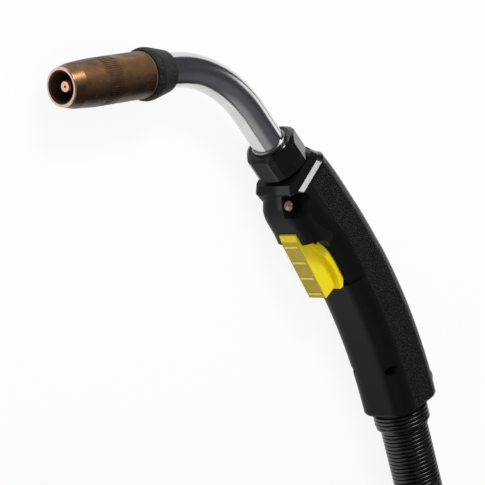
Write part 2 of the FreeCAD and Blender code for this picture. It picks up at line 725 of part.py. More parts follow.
def outer_handle():
    """The handle's outside, without recesses."""
    rear = handle_end_text
    nose = loft("Nose", [
        station("Nose0", "handle_front", "13.4", "15.7", "15.4", "8", "3.5"),
        station("Nose1", "handle_front + 3.5", "14.0", "17.4", "18.9", "8.2", "3.5"),
        station("Nose2", "handle_front + 5.5", "14.4", "18.4", "18.6", "8.5", "4.5"),
        station("Nose3", "shoulder", "16.3", "20.0", "18.0", "9.4", "6")], True)
    front = loft("FrontPart", [
        station("Front0", "shoulder", "16.3", "20.0", "18.0", "9.4", "6"),
        full_station("Front1", "34", "handle_half_width - 0.3", "handle_top - 0.3"),
        full_station("Front2", "46"),
        full_station("Front3", "58", bottom="handle_bottom - 0.4", lower="handle_corner + 1.5"),
        full_station("Front4", "70", bottom="scoop_bottom", lower="scoop_corner"),
        full_station("Front5", "84", bottom="scoop_bottom", lower="scoop_corner"),
        full_station("Front6", "scoop_end", top="handle_top + handle_swell*0.3",
                     bottom="scoop_bottom", lower="scoop_corner")])
    back = loft("RearPart", [
        full_station("Rear0", "scoop_end", top="handle_top + handle_swell*0.3",
                     bottom="handle_bottom - 0.9"),
        full_station("Rear1", "130", top="handle_top + handle_swell*0.6",
                     bottom="handle_bottom - 0.6"),
        full_station("Rear2", "165", top="handle_top + handle_swell*0.9",
                     bottom="handle_bottom - 0.2"),
        full_station("Rear3", rear + " - rear_bevel", top="handle_top + handle_swell")])
    tail = loft("RearEdge", [
        full_station("Edge0", rear + " - rear_bevel", top="handle_top + handle_swell"),
        full_station("Edge1", rear + " - rear_bevel*0.4", "handle_half_width - rear_bevel*0.25",
                     "handle_top + handle_swell - rear_bevel*0.25",
                     "handle_bottom - rear_bevel*0.25"),
        full_station("Edge2", rear, "handle_half_width - rear_bevel*0.9",
                     "handle_top + handle_swell - rear_bevel*0.9",
                     "handle_bottom - rear_bevel*0.9", "handle_corner - 1", "handle_corner - 1")],
        True)
    ridge = loft("Spine", [
        station("Spine%d" % index, along, "spine_half_width",
                "handle_top + spine_height + handle_swell*%s" % part, "2", "1.4", "1.4")
        for index, (along, part) in enumerate([
            ("spine_start", "0"), ("scoop_end", "0.3"), ("130", "0.6"), ("165", "0.9"),
            (rear + " - 4", "1")])])
    heel_point = REAR.multVec(Vector(
        -value("heel_inset"),
        value("handle_top + handle_swell + spine_height + heel_height - heel_radius"), 0))
    heel = cylinder("Heel", "heel_radius", "2*heel_half_width", FreeCAD.Placement(
        heel_point - Z_AXIS * value("heel_half_width"), FreeCAD.Rotation()))
    pod = loft("Pod", [
        station("Pod0", "22.3", "8", "2", "17.2", "1", "6.5"),
        station("Pod1", "25.8", "10.6", "2", "21.2", "1", "7.4"),
        station("Pod2", "31.4", "13.2", "2", "24.6", "1", "pod_corner"),
        station("Pod3", "40", "pod_half_width - 0.4", "2", "pod_bottom - 0.4", "1", "pod_corner"),
        station("Pod4", "50", "pod_half_width", "2", "pod_bottom", "1", "pod_corner"),
        station("Pod5", "pod_end", "pod_half_width", "2", "pod_bottom", "1", "pod_corner")])
    hollow = cylinder("PodHollow", "pod_hollow", "60", at(
        "pod_end", "-scoop_bottom - pod_hollow", "-30"))
    return fuse("Outside", nose, front, back, tail, ridge, heel, cut("PodShaped", pod, hollow))


def hex_bar(name, flats, height, place):
    """A six-sided bar along its own Z axis."""
    bar = doc.addObject("Part::Prism", name)
    bar.Polygon = 6
    size(bar, Circumradius="%s/2/cos(30)" % flats, Height=height)
    bar.Placement = place
    return bar


def make_handle():
    """Two moulded shells that meet in the torch's middle plane."""
    outside = outer_handle()
    rear = handle_end_text
    top = "handle_top - handle_wall"
    hollow = loft("Hollow", [
        station("Hollow%d" % index, along, width, top + " + handle_swell*" + part,
                "scoop_bottom - handle_wall", "handle_corner - handle_wall",
                "scoop_corner - handle_wall")
        for index, (along, width, part) in enumerate([
            ("28.5", "handle_half_width - handle_wall - 0.6", "0 - 0.6"),
            ("40", "handle_half_width - handle_wall", "0"),
            ("70", "handle_half_width - handle_wall", "0"),
            ("scoop_end", "handle_half_width - handle_wall", "0.3"),
            ("130", "handle_half_width - handle_wall", "0.6"),
            ("165", "handle_half_width - handle_wall", "0.9"),
            (rear + " - rear_wall", "handle_half_width - handle_wall", "1")])])
    screws = [("Front", "front_screw_along", "-front_screw_down", "front_recess"),
              ("Rear", "rear_screw_along", "-rear_screw_down", "rear_recess")]
    bosses = []
    holes = []
    for name, x, y, recess in screws:
        bosses.append(cylinder(name + "Boss", "%s/2 + 2" % recess, "50", at(x, y, "-25")))
        holes.append(cylinder(name + "Recess", "%s/2" % recess, "25", at(x, y, "screw_floor")))
        holes.append(cylinder(name + "Hole", "screw_shank/2", "screw_floor + screw_nut_top + 1",
                              at(x, y, "-screw_nut_top - 1")))
        holes.append(hex_bar(name + "Pocket", "(screw_nut_flats + 0.1)", "15",
                             at(x, y, "-screw_nut_top - 15")))
    cable_way = solid("CableWay", tube(held_path("cable_start - 6"),
                                       value("cable_diameter/2 + 0.2")))
    solid_in = cut("BossesClear", common("BossesInside", outside, fuse("Bosses", *bosses)),
                   cable_way)
    walls = fuse("Walls", cut("HollowShell", outside, hollow), solid_in)
    holes.append(lathe("NoseBore", [
        ("handle_front - 5", "0"), ("handle_front - 5", "nut_thread/2 + 0.05"),
        ("socket_flange_front", "nut_thread/2 + 0.05"),
        ("socket_flange_front", "socket_flange/2"),
        ("socket_flange_front + socket_flange_width", "socket_flange/2"),
        ("socket_flange_front + socket_flange_width", "socket_diameter/2 + 0.1"),
        ("socket_rear + 2", "socket_diameter/2 + 0.1"), ("socket_rear + 2", "0")]))
    holes.append(cylinder("RearHole", "bush_groove/2 + 0.05", "rear_wall + 8", FreeCAD.Placement(
        REAR.multVec(Vector(-value("rear_wall") - 2, 0, 0)),
        FreeCAD.Rotation(Z_AXIS, direction(-end_turn)))))
    downwards = FreeCAD.Rotation(Vector(1, 0, 0), Z_AXIS, Vector(0, -1, 0), "XYZ")
    holes.append(box("FingerSlot", "pod_end - trigger_front + trigger_gap + 2",
                     "2*(trigger_half_width + trigger_gap)", "30",
                     FreeCAD.Placement(at("trigger_front - trigger_gap", "-13",
                                          "-trigger_half_width - trigger_gap").Base, downwards)))
    holes.append(box("SkirtSlot", "trigger_rear + 4.6 - trigger_front - 1",
                     "2*(trigger_skirt + trigger_gap)", "11.4",
                     FreeCAD.Placement(at("trigger_front + 1", "-13",
                                          "-trigger_skirt - trigger_gap").Base, downwards)))
    holes.append(cylinder("PivotHole", "pivot_pin/2", "pivot_pin_length",
                          at("pivot_along", "-pivot_down", "-pivot_pin_length/2")))
    shell = cut("Shell", walls, fuse("Holes", *holes))
    upper = box("UpperHalf", "260", "160", "40", at("0", "-100", "0"))
    lower = box("LowerHalf", "260", "160", "40", at("0", "-100", "-40"))
    pegs = [cylinder("Peg%d" % index, "switch_peg/2", "20", at(
        along, "switch_height/2 - switch_down", "-16")) for index, along in enumerate(
        ["switch_front + 2.2", "switch_front + switch_length - 2.2"])]
    piece(common("HandleUpper", shell, upper), "handle_shell_upper")
    piece(fuse("HandleLower", common("HandleLowerWalls", shell, lower), *pegs),
          "handle_shell_lower")


def make_screws():
    """Two screws through the shells, each with its nut."""
    upright = FreeCAD.Rotation(Vector(0, 1, 0), -90)
    for name, x, y in [("front", "front_screw_along", "-front_screw_down"),
                       ("rear", "rear_screw_along", "-rear_screw_down")]:
        turned = lathe(name + "_blank", [
            ("-screw_length", "0"), ("-screw_length", "screw_shank/2"), ("0", "screw_shank/2"),
            ("0", "screw_head/2"), ("screw_head_height - 0.7", "screw_head/2"),
            ("screw_head_height", "screw_head/2 - 0.9"), ("screw_head_height", "0")])
        turned.Placement = FreeCAD.Placement(at(x, y, "screw_floor").Base, upright)
        slot = box(name + "_slot", "screw_head + 2", "0.9", "2", FreeCAD.Placement(
            at(x, y, "screw_floor + screw_head_height - 1").Base +
            direction(35) * -value("screw_head/2 + 1") + direction(125) * -0.45,
            FreeCAD.Rotation(Z_AXIS, 35)))
        piece(cut(name + "_screw_cut", turned, slot), name + "_screw")
        nut = hex_bar(name + "_nut_blank", "screw_nut_flats", "screw_nut_height",
                      at(x, y, "-screw_nut_top - screw_nut_height"))
        bore = cylinder(name + "_nut_bore", "screw_shank/2", "screw_nut_height + 2",
                        at(x, y, "-screw_nut_top - screw_nut_height - 1"))
        piece(cut(name + "_nut_cut", nut, bore), name + "_screw_nut")


# Trigger and switch

def make_trigger():
    """The finger piece with its skirt, turning on a pin in the housing."""
    top = "-switch_down - plunger_out"
    finger = plate("Finger", [
        ("trigger_front", "-21.4"), ("trigger_front", "-27.2"),
        ("trigger_front + 6", "-trigger_face_front"), ("trigger_rear - 2.0", "-trigger_face_rear"),
        ("trigger_rear - 1.2", "-trigger_face_rear + 0.6"),
        ("trigger_rear", "-24.2"), ("trigger_rear", "-20.6"), ("86", "-18.7"), ("76.5", "-18.5"),
        ("67", "-20.6"), ("59", "-22.6"), ("54", "-20.9")], "trigger_half_width")
    skirt = plate("Skirt", [
        ("trigger_front + 1.8", "-19.8"), ("trigger_front + 1.8", "-23.6"), ("53", "-23.8"),
        ("59", "-23.5"), ("65", "-22.1"), ("71", "-20.3"), ("76.5", "-19.5"), ("82", "-19.5"),
        ("88", "-20.6"), ("trigger_rear + 1.6", "-23.8"), ("trigger_rear + 2.6", "-21.4"),
        ("88", "-18.3"), ("82", "-17.2"), ("76.5", "-17.2"), ("71", "-18.1"), ("65", "-19.9"),
        ("59", "-21.6"), ("54", "-19.8")], "trigger_skirt")
    rims = plate("SkirtRims", [
        ("61", "-21"), ("68", "-19.2"), ("76", "-18"), ("84", "-18.2"), ("trigger_rear", "-21.2"),
        ("trigger_rear + 2.4", "-21.2"), ("trigger_rear - 1", "-16.6"), ("84", "-15.4"),
        ("76", "-15.2"), ("68", "-16.2"), ("61", "-18.4")], "trigger_skirt")
    between = box("BetweenRims", "60", "12", "2*(trigger_skirt - trigger_rim)", at(
        "50", "-25", "trigger_rim - trigger_skirt"))
    post = plate("PlungerPost", [
        ("plunger_along - 2.5", "-22"), ("plunger_along + 2.5", "-22"),
        ("plunger_along + 0.8", top), ("plunger_along - 0.8", top)], "2")
    slope = math.degrees(math.atan2(value("trigger_face_rear - trigger_face_front"),
                                    value("trigger_rear - trigger_front - 8")))
    start = Vector(value("trigger_front + 6"), -value("trigger_face_front"), 0)
    down = FreeCAD.Rotation(Z_AXIS, -slope)
    ribs = []
    for index in range(4):
        corner = start + down.multVec(Vector(0.4 + index * value("trigger_rib_pitch"),
                                             -value("trigger_rib"), 0))
        rib = box("Rib%d" % index, "trigger_rib_width", "trigger_rib + 1",
                  "2*(trigger_half_width - 1.2)", FreeCAD.Placement(
                      corner - Z_AXIS * value("trigger_half_width - 1.2"), down))
        ribs.append(rib)
    bore = cylinder("PivotBore", "pivot_pin/2 + fit", "30",
                    at("pivot_along", "-pivot_down", "-15"))
    blank = fuse("TriggerBlank", finger, skirt, cut("Rims", rims, between), post, *ribs)
    piece(cut("Trigger", blank, bore), "trigger")
    pin = cylinder("PivotPin", "pivot_pin/2", "pivot_pin_length",
                   at("pivot_along", "-pivot_down", "-pivot_pin_length/2"))
    piece(pin, "trigger_pin")


def make_switch():
    """The switch that the trigger presses, with its plunger and wires."""
    low = "-switch_down"
    housing = box("SwitchBlock", "switch_length", "switch_height", "switch_width",
                  at("switch_front", low, "-switch_width/2"))
    peg_holes = [cylinder("PegHole%d" % index, "switch_peg/2", "20", at(
        along, "switch_height/2 - switch_down", "-10")) for index, along in enumerate(
        ["switch_front + 2.2", "switch_front + switch_length - 2.2"])]
    upright = FreeCAD.Rotation(Vector(1, 0, 0), -90)
    way = cylinder("PlungerWay", "plunger_diameter/2 + fit", "plunger_length - plunger_out + 2.6",
                   FreeCAD.Placement(at("plunger_along", "-switch_down - 1", "0").Base, upright))
    piece(cut("Switch", housing, fuse("SwitchHoles", way, *peg_holes)), "switch_housing")
    plunger = cylinder("Plunger", "plunger_diameter/2", "plunger_length",
                       FreeCAD.Placement(
                           at("plunger_along", "-switch_down - plunger_out + 0.02", "0").Base,
                           upright))
    piece(plunger, "switch_plunger")
    for name, side in (("a", 1), ("b", -1)):
        blade = box("Terminal" + name, "4.5", "2.8", "0.8",
                    at("switch_front + switch_length", "-switch_down + 1.6", "%s*1.9 - 0.4" % side))
        piece(blade, "switch_terminal_" + name)
        start = Vector(value("switch_front + switch_length + 4.5"), -value("switch_down - 3"),
                       1.9 * side)
        end = Vector(value("cable_start - 2.5"), -9.0, 1.9 * side)
        points = [start, start + Vector(2.4, 0, 0), end - Vector(2.4, 0, 0), end]
        piece(solid("Lead" + name, tube(rounded_path(points, "lead"),
                                        value("lead_diameter/2"))), "trigger_lead_" + name)


# Cable, bush and spring

def eased(part):
    """From 0 to 1 with a level start and end."""
    part = min(max(part, 0), 1)
    return part * part * (3 - 2 * part)


def cable_height(along):
    """Height of the loose cable, which comes down from the spring to the surface."""
    return coil_low * eased(along / value("cable_drop"))


def run_point(along):
    """The loose cable's centre line before the coil."""
    return cable_out + axis * along + Z_AXIS * cable_height(along)


def coil_point(turns):
    """The coil's centre line: inwards on the lower layer, out again on the upper."""
    middle = value("coil_turns/2")
    half = 0.25
    pitch = value("coil_pitch")
    away = abs(turns - middle)
    if away < half:
        away = (away * away + half * half) / (2 * half)
    radius = value("coil_radius") - pitch * (middle - away)
    height = cable_height(value("run_length") + 2 * math.pi * value("coil_radius") * turns)
    height += value("coil_climb") * eased((turns - middle + half) / (2 * half))
    height += value("coil_hump") * eased((turns - 3.76) / 0.17) * eased((4.16 - turns) / 0.17)
    angle = coil_angle - 2 * math.pi * turns
    return coil_centre + Vector(radius * math.cos(angle), radius * math.sin(angle), height)


def path_tangent(curve, where, step=1e-4):
    heading = curve(where + step) - curve(where - step)
    heading.normalize()
    return heading


axis = direction(-end_turn)
cable_out = REAR.multVec(Vector(value("cable_straight"), 0, 0))
coil_low = surface + value("cable_diameter/2")
coil_start = run_point(value("run_length"))
inwards = direction(-90 - end_turn)
coil_centre = coil_start + inwards * value("coil_radius")
coil_centre.z = 0
coil_angle = math.atan2(-inwards.y, -inwards.x)
plug_height = surface + value("ring_diameter/2")
coil_leave = coil_point(value("coil_turns"))
plug_turn = -end_turn - 360 * value("coil_turns")
plug_heading = direction(plug_turn)
plug_start = coil_leave + plug_heading * value("tail_length")
plug_start.z = plug_height
PLUG = turned_to(plug_start, plug_turn)


def held_path(start):
    """The cable's centre line in the handle, to its rear face."""
    first = spine(value(start))[0]
    middle = spine((value(start) + handle_end) / 2)[0]
    return [Part.Arc(first, middle, end_point).toShape()]


def make_cable():
    """The cable: held in the handle and the spring, then loose to the plug."""
    radius = value("cable_diameter/2")
    held = held_path("cable_start") + [Part.LineSegment(end_point, cable_out).toShape()]
    piece(solid("CableHeld", tube(held, radius)), "cable_inner")
    marks = [value("run_length") * part for part in (0, 0.5, 1)]
    run = biarc_path([run_point(mark) for mark in marks],
                     [path_tangent(run_point, mark) for mark in marks])
    piece(solid("CableRun", tube(run, radius)), "cable_run")
    count = 54
    marks = [value("coil_turns") * index / count for index in range(count + 1)]
    points = [coil_point(mark) for mark in marks]
    tangents = [path_tangent(coil_point, mark) for mark in marks]
    tangents[0] = path_tangent(run_point, value("run_length"))
    tangents[-1] = plug_heading
    edges = biarc_path(points, tangents)
    edges += biarc(coil_leave, plug_heading, plug_start, plug_heading)
    into_plug = plug_start + plug_heading * value("boot_length + 14")
    edges.append(Part.LineSegment(plug_start, into_plug).toShape())
    coil = tube(edges, radius)
    piece(solid("CableCoil", coil), "cable_coil")
    samples = []
    for edge in edges:
        samples += edge.discretize(Distance=4)[:-1]
    print("coil gap to itself %.2f" % least_gap(samples, 2 * radius, 20))
    length = sum(edge.Length for edge in edges)
    print("coil length %.0f, volume ratio %.4f" % (
        length, coil.Volume / (math.pi * radius * radius * length)))


def make_bush():
    """The bush in the handle's rear wall; the spring sits on its nose."""
    bush = lathe("Bush", [
        ("-rear_wall - 4.1", "cable_diameter/2 + 0.2"), ("-rear_wall - 4.1", "bush_flange/2"),
        ("-rear_wall - 0.05", "bush_flange/2"), ("-rear_wall - 0.05", "bush_groove/2"),
        ("0.05", "bush_groove/2"), ("0.05", "bush_nose_diameter/2"),
        ("bush_nose - 0.8", "bush_nose_diameter/2"), ("bush_nose", "bush_nose_diameter/2 - 0.8"),
        ("bush_nose", "cable_diameter/2 + 0.2")])
    piece(bush, "strain_relief_bush", REAR)
    stud = lathe("Stud", [
        ("neck_depth + 14.2", "0"), ("neck_depth + 14.2", "stud_diameter/2"),
        ("socket_rear", "stud_diameter/2"), ("socket_rear", "stud_diameter/2 + 2.4"),
        ("socket_rear + 2.5", "stud_diameter/2 + 2.4"), ("socket_rear + 2.5", "stud_diameter/2"),
        ("cable_start - 2", "stud_diameter/2"), ("cable_start - 2", "0")])
    bore = cylinder("StudBore", "conductor_bore/2 - 0.8", "90", FreeCAD.Placement(
        Vector(20, 0, 0), FreeCAD.Rotation(Vector(0, 1, 0), 90)))
    piece(cut("StudBored", stud, bore), "cable_stud")
    ferrule = lathe("Crimp", [
        ("socket_rear + 27", "stud_diameter/2"), ("socket_rear + 27", "crimp_diameter/2 - 0.8"),
        ("socket_rear + 29", "crimp_diameter/2"), ("cable_start - 3", "crimp_diameter/2"),
        ("cable_start - 0.6", "crimp_diameter/2 - 0.8"), ("cable_start - 0.6", "stud_diameter/2")])
    piece(ferrule, "crimp_ferrule")


def spring_curve(turns):
    """Centre line of the spring's wire in the place of the rear face."""
    wide = value("(spring_wide - spring_wire)/2")
    narrow = value("(spring_narrow - spring_wire)/2")
    step = (turns - value("spring_wide_turns")) / value("spring_step_turns")
    step = min(max(step, 0), 1)
    radius = wide + (narrow - wide) * step * step * (3 - 2 * step)
    angle = 2 * math.pi * turns
    along = value("spring_start") + value("spring_pitch") * turns
    return REAR.multVec(Vector(along, radius * math.cos(angle), radius * math.sin(angle)))


def make_spring():
    """The strain relief spring, wound from round wire."""
    marks = [index * 0.5 for index in range(int(2 * value("spring_turns")) + 1)]
    points = [spring_curve(mark) for mark in marks]
    tangents = [path_tangent(spring_curve, mark) for mark in marks]
    edges = biarc_path(points, tangents)
    wire = tube(edges, value("spring_wire/2"))
    piece(solid("Spring", wire), "strain_relief_spring")
    length = sum(edge.Length for edge in edges)
    print("spring gap %.2f, length %.0f, volume ratio %.4f" % (
        value("spring_pitch - spring_wire"), length,
        wire.Volume / (math.pi * value("spring_wire/2") ** 2 * length)))


# Plug

def make_plug():
    """The plug at the cable's far end, lying on the surface."""
    boot = lathe("Boot", [
        ("0", "cable_diameter/2"), ("0", "boot_tail/2"), ("boot_length - 8", "boot_diameter/2"),
        ("boot_length + 8", "boot_diameter/2"), ("boot_length + 8", "cable_diameter/2")])
    piece(boot, "plug_boot", PLUG)
    rear = "boot_length"
    inner = "cover_diameter/2 - cover_wall"
    cover = lathe("Cover", [
        (rear, "boot_diameter/2"), (rear, "boot_diameter/2 + 2.5"),
        (rear + " + 3", "boot_diameter/2 + 3.5"), (rear + " + 16", "cover_diameter/2"),
        (rear + " + cover_length - 1", "cover_diameter/2"),
        (rear + " + cover_length", "cover_diameter/2 - 1"), (rear + " + cover_length", inner),
        (rear + " + 18", inner), (rear + " + 6", "boot_diameter/2 + 1.5"),
        (rear + " + 6", "boot_diameter/2")])
    piece(cover, "plug_cover", PLUG)
    front = rear + " + plug_front"
    edge = rear + " + cover_length"
    block = lathe("Block", [
        (edge + " - 30", "nipple_diameter/2 - 0.5"), (edge + " - 30", inner),
        (edge + " + 0.2", inner),
        (edge + " + 0.2", "ring_bore/2 - 4"), (front + " - 1", "ring_bore/2 - 4"),
        (front, "ring_bore/2 - 5"), (front, "nipple_diameter/2 - 0.5")])
    snap_groove = lathe("SnapGroove", [
        (edge + " + 7", "ring_bore/2 - 5"), (edge + " + 8.6", "ring_bore/2 - 5"),
        (edge + " + 8.6", "ring_bore/2"), (edge + " + 7", "ring_bore/2")])
    pins = []
    for index, side in enumerate((1, -1)):
        hole = cylinder("PinHole%d" % index, "pin_diameter/2", "20", FreeCAD.Placement(
            Vector(value(front) - 10, side * value("pin_spread/2"), 0),
            FreeCAD.Rotation(Vector(0, 1, 0), 90)))
        pins.append(hole)
    piece(cut("BlockBored", block, fuse("BlockHoles", snap_groove, *pins)), "plug_body", PLUG)
    ring_clip = lathe("SnapRing", [
        (edge + " + 7.1", "ring_bore/2 - 5"), (edge + " + 8.5", "ring_bore/2 - 5"),
        (edge + " + 8.5", "ring_bore/2 - 2.6"), (edge + " + 7.1", "ring_bore/2 - 2.6")])
    piece(ring_clip, "plug_snap_ring", PLUG)
    ring = lathe("CouplingRing", [
        (edge + " + 0.5", "ring_bore/2 - 4 + fit"), (edge + " + 0.5", "ring_diameter/2 - 1"),
        (edge + " + 1.5", "ring_diameter/2"), (edge + " + ring_length - 1", "ring_diameter/2"),
        (edge + " + ring_length", "ring_diameter/2 - 1"), (edge + " + ring_length", "ring_bore/2"),
        (edge + " + 6.9", "ring_bore/2"), (edge + " + 6.9", "ring_bore/2 - 4 + fit")])
    piece(ring, "plug_ring", PLUG)
    nipple = lathe("Nipple", [
        (edge + " - 34", "2"), (edge + " - 34", "nipple_diameter/2 - 0.5"),
        (front + " + 1.5", "nipple_diameter/2 - 0.5"), (front + " + 1.5", "nipple_diameter/2"),
        (front + " + nipple_length - 1.5", "nipple_diameter/2"),
        (front + " + nipple_length", "nipple_diameter/2 - 1.5"), (front + " + nipple_length", "2")])
    piece(nipple, "plug_nipple", PLUG)
    for index, side in enumerate((1, -1)):
        contact = lathe("Contact%d" % index, [
            ("0", "0"), ("0", "pin_diameter/2"), ("20", "pin_diameter/2"),
            ("21.4", "pin_diameter/2 - 1.2"), ("21.4", "0")])
        piece(contact, "plug_pin_" + "ab"[index], PLUG.multiply(FreeCAD.Placement(
            Vector(value(front) - 10, side * value("pin_spread/2"), 0), FreeCAD.Rotation())))


make_neck()
make_cap()
make_nozzle()
make_front_end()
make_nut()
make_socket()
make_handle()
make_screws()
make_trigger()
make_switch()
make_cable()
make_bush()
make_spring()
make_plug()
doc.recompute()

faults = [obj.Name for obj in doc.Objects if "Invalid" in obj.State or "Error" in obj.State]
if faults:
    print("objects in error:", faults)
os.makedirs("parts", exist_ok=True)
for label, obj in pieces.items():
    shape = obj.Shape
    if shape.isNull() or not shape.isValid() or len(shape.Solids) != 1:
        print("FAULT", label, shape.isNull(), len(shape.Solids))
    shape.exportStep("parts/%s.step" % label)
    print("%-24s %9.1f mm3" % (label, shape.Volume))
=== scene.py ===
"""Looks of a MIG welding torch: its finishes, spring and cable, and the studio around it."""

import json
import math

import bpy
from mathutils import Matrix, Vector


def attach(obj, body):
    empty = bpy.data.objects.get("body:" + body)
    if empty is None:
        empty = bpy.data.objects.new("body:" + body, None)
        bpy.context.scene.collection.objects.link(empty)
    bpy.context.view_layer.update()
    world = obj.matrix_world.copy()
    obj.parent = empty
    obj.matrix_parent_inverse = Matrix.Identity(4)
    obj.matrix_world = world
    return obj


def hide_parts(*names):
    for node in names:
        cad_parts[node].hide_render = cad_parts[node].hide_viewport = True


bl_info = {
    "name": "MIG welding torch",
    "version": (1, 0, 0),
    "blender": (4, 5, 0),
    "location": "3D View > Sidebar > Torch",
    "description": "Finishes, spring, cable and studio of a MIG welding torch",
    "category": "Object",
}

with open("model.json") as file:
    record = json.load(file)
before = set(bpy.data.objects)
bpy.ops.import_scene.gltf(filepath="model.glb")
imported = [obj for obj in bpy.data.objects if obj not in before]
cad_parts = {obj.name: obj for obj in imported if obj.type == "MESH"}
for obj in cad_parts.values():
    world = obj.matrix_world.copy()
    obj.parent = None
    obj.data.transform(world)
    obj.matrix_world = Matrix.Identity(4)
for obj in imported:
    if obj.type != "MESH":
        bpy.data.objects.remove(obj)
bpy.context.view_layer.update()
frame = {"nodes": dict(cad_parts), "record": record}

MM = 0.001


# Places on the torch, in metres, as the part's source has them

def heading(degrees):
    """Unit vector in the torch's middle plane."""
    return Vector((math.cos(math.radians(degrees)), math.sin(math.radians(degrees)), 0))


NECK_STRAIGHT = 23.0 * MM
NECK_BEND_RADIUS = 80.0 * MM
NECK_BEND = 52.0
NECK_REACH = 83.3 * MM
NOZZLE_LENGTH = 60.5 * MM
NOZZLE_AXIS = heading(NECK_BEND)
NOZZLE_CROWN = heading(90 + NECK_BEND)
NECK_BEND_CENTRE = Vector((-NECK_STRAIGHT, -NECK_BEND_RADIUS, 0))
NECK_BEND_END = NECK_BEND_CENTRE + NOZZLE_CROWN * NECK_BEND_RADIUS
NOZZLE_FRONT = NECK_BEND_END - NOZZLE_AXIS * NECK_REACH

SURFACE = -17.3 * MM
FINGER_FRONT = Vector((52.8, -29.0, 0)) * MM
FINGER_OUT = heading(-90 - math.degrees(math.atan2(5.0, 38.2)))
HANDLE_TURN = 25.2
HANDLE_AXIS = heading(-HANDLE_TURN)
HANDLE_UP = heading(90 - HANDLE_TURN)
HANDLE_BEND_START = 66.0 * MM
HANDLE_BEND_RADIUS = 300.0 * MM
HANDLE_BEND_CENTRE = Vector((HANDLE_BEND_START, -HANDLE_BEND_RADIUS, 0))
HANDLE_END = HANDLE_BEND_CENTRE + HANDLE_UP * HANDLE_BEND_RADIUS

# Radii from which the nozzle's dark bore turns to copper, and its rear face to a painted highlight
# on its edge

BORE_DARK = 8.5 * MM
HEEL_HIGHLIGHT_RADIUS = 12.0 * MM

# Where the handle's smooth shoulder ends and its pebble starts, behind the nut's front face

SHOULDER_END = 28.5 * MM
PEBBLE_START = 30.5 * MM

# Tones that the finishes mix into their own colours

COPPER_WARM = (0.42, 0.23, 0.10)
# Painted shade on the nozzle's underside and crown
COPPER_PAINTED_SHADE = (0.030, 0.018, 0.012)
COPPER_SCRATCH = (0.62, 0.47, 0.30)
BORE_SOOT = (0.042, 0.018, 0.012)
TIP_HEATED = (0.30, 0.16, 0.10)
# Painted shade in the contact tip's wire bore
TIP_PAINTED_SHADE = (0.03, 0.02, 0.015)
STEEL_CLOUD = (0.40, 0.40, 0.42)
STEEL_SPECK = (0.25, 0.24, 0.24)
ZINC_DRIFT = (0.66, 0.55, 0.46)
ZINC_MARK = (0.16, 0.13, 0.08)
SPRING_GRIME = (0.045, 0.043, 0.04)
# Painted glints on the handle's pebble
PEBBLE_PAINTED_GLINT = (0.16, 0.16, 0.155)
HANDLE_DUST = (0.014, 0.0135, 0.0125)
NUT_SCUFF = (0.04, 0.039, 0.037)
TRIGGER_GRIME = (0.45, 0.36, 0.05)
CAP_ASH = (0.20, 0.18, 0.14)

# Points that each wound line has in a turn

SPRING_KNOTS = 16
COIL_KNOTS = 24

# Along the coil, in turns: where its last turn rises, and half of the change between layers

HUMP_START = 3.76
HUMP_END = 4.16
HUMP_RAMP = 0.17
LAYER_CHANGE = 0.25

# The cable's ends: its places along the handle's curve, and the plug's height over the surface

HELD_PLACES = [(96 + 9 * index) * MM for index in range(12)]
PLUG_HEIGHT = 26 * MM

# The camera: its place, its right-hand side and the way back from what it sees

CAMERA_PLACE = (-0.7205, -0.7470, 0.8503)
CAMERA_RIGHT = Vector((0.470, 0.438, 0.766))
CAMERA_BACK = Vector((-0.560, -0.522, 0.643))

# The key light: its size, and how far it stands to the camera's right, up and back

KEY_WIDTH = 0.42
KEY_HEIGHT = 0.24
KEY_RIGHT = 0.45
KEY_UP = 0.75
KEY_BACK = 0.55

# The floor: half its side, its gap below the cable, and the share of white that it is seen with

FLOOR_HALF = 6.0
FLOOR_GAP = 0.2 * MM
FLOOR_GLOW = 0.90

# What polished pieces mirror above the floor, in place of white: a dark room with bright fields

ROOM = 0.055
ROOM_BLUE = 0.012
BRIGHT_FIELDS = [
    ((0.56, 0.77, 0.29), 0.970, 0.990, 1.1),
    ((0.35, -0.93, 0.10), 0.55, 0.95, 0.30),
    ((0.80, -0.10, 0.60), 0.80, 1.0, 0.06),
]


def spine(along):
    """Point of the handle's centre line in its curved stretch."""
    turned = math.degrees((along - HANDLE_BEND_START) / HANDLE_BEND_RADIUS)
    return HANDLE_BEND_CENTRE + heading(90 - turned) * HANDLE_BEND_RADIUS


def eased(part):
    """From 0 to 1 with a level start and end."""
    part = min(max(part, 0), 1)
    return part * part * (3 - 2 * part)


def knot_reach(angle):
    """Share of the knots' radius that a smooth line keeps when they are this angle apart."""
    return 0.75 + 0.25 * math.cos(angle)


# Shader maths

class Value:
    """A node's output that can stand in a Python expression."""

    def __init__(self, shader, output):
        self.shader = shader
        self.output = output

    def maths(self, operation, *others):
        """A Math node on this value and the others."""
        given = dict(enumerate((self,) + others))
        return self.shader.node("ShaderNodeMath", {"operation": operation}, given)

    def __add__(self, other):
        return self.maths("ADD", other)

    __radd__ = __add__

    def __sub__(self, other):
        return self.maths("SUBTRACT", other)

    def __rsub__(self, other):
        return self.maths("MULTIPLY_ADD", -1.0, other)

    def __mul__(self, other):
        return self.maths("MULTIPLY", other)

    __rmul__ = __mul__

    def part(self, name):
        """Another output of the same node."""
        return Value(self.shader, self.output.node.outputs[name])

    def step(self, low, high):
        """0 below low, 1 above high and smooth between them."""
        return self.shader.node(
            "ShaderNodeMapRange", {"interpolation_type": "SMOOTHSTEP"},
            {"Value": self, "From Min": low, "From Max": high})

    def band(self, low, high, soft):
        """1 between low and high, and 0 outside."""
        return self.step(low - soft, low + soft) * (1 - self.step(high - soft, high + soft))


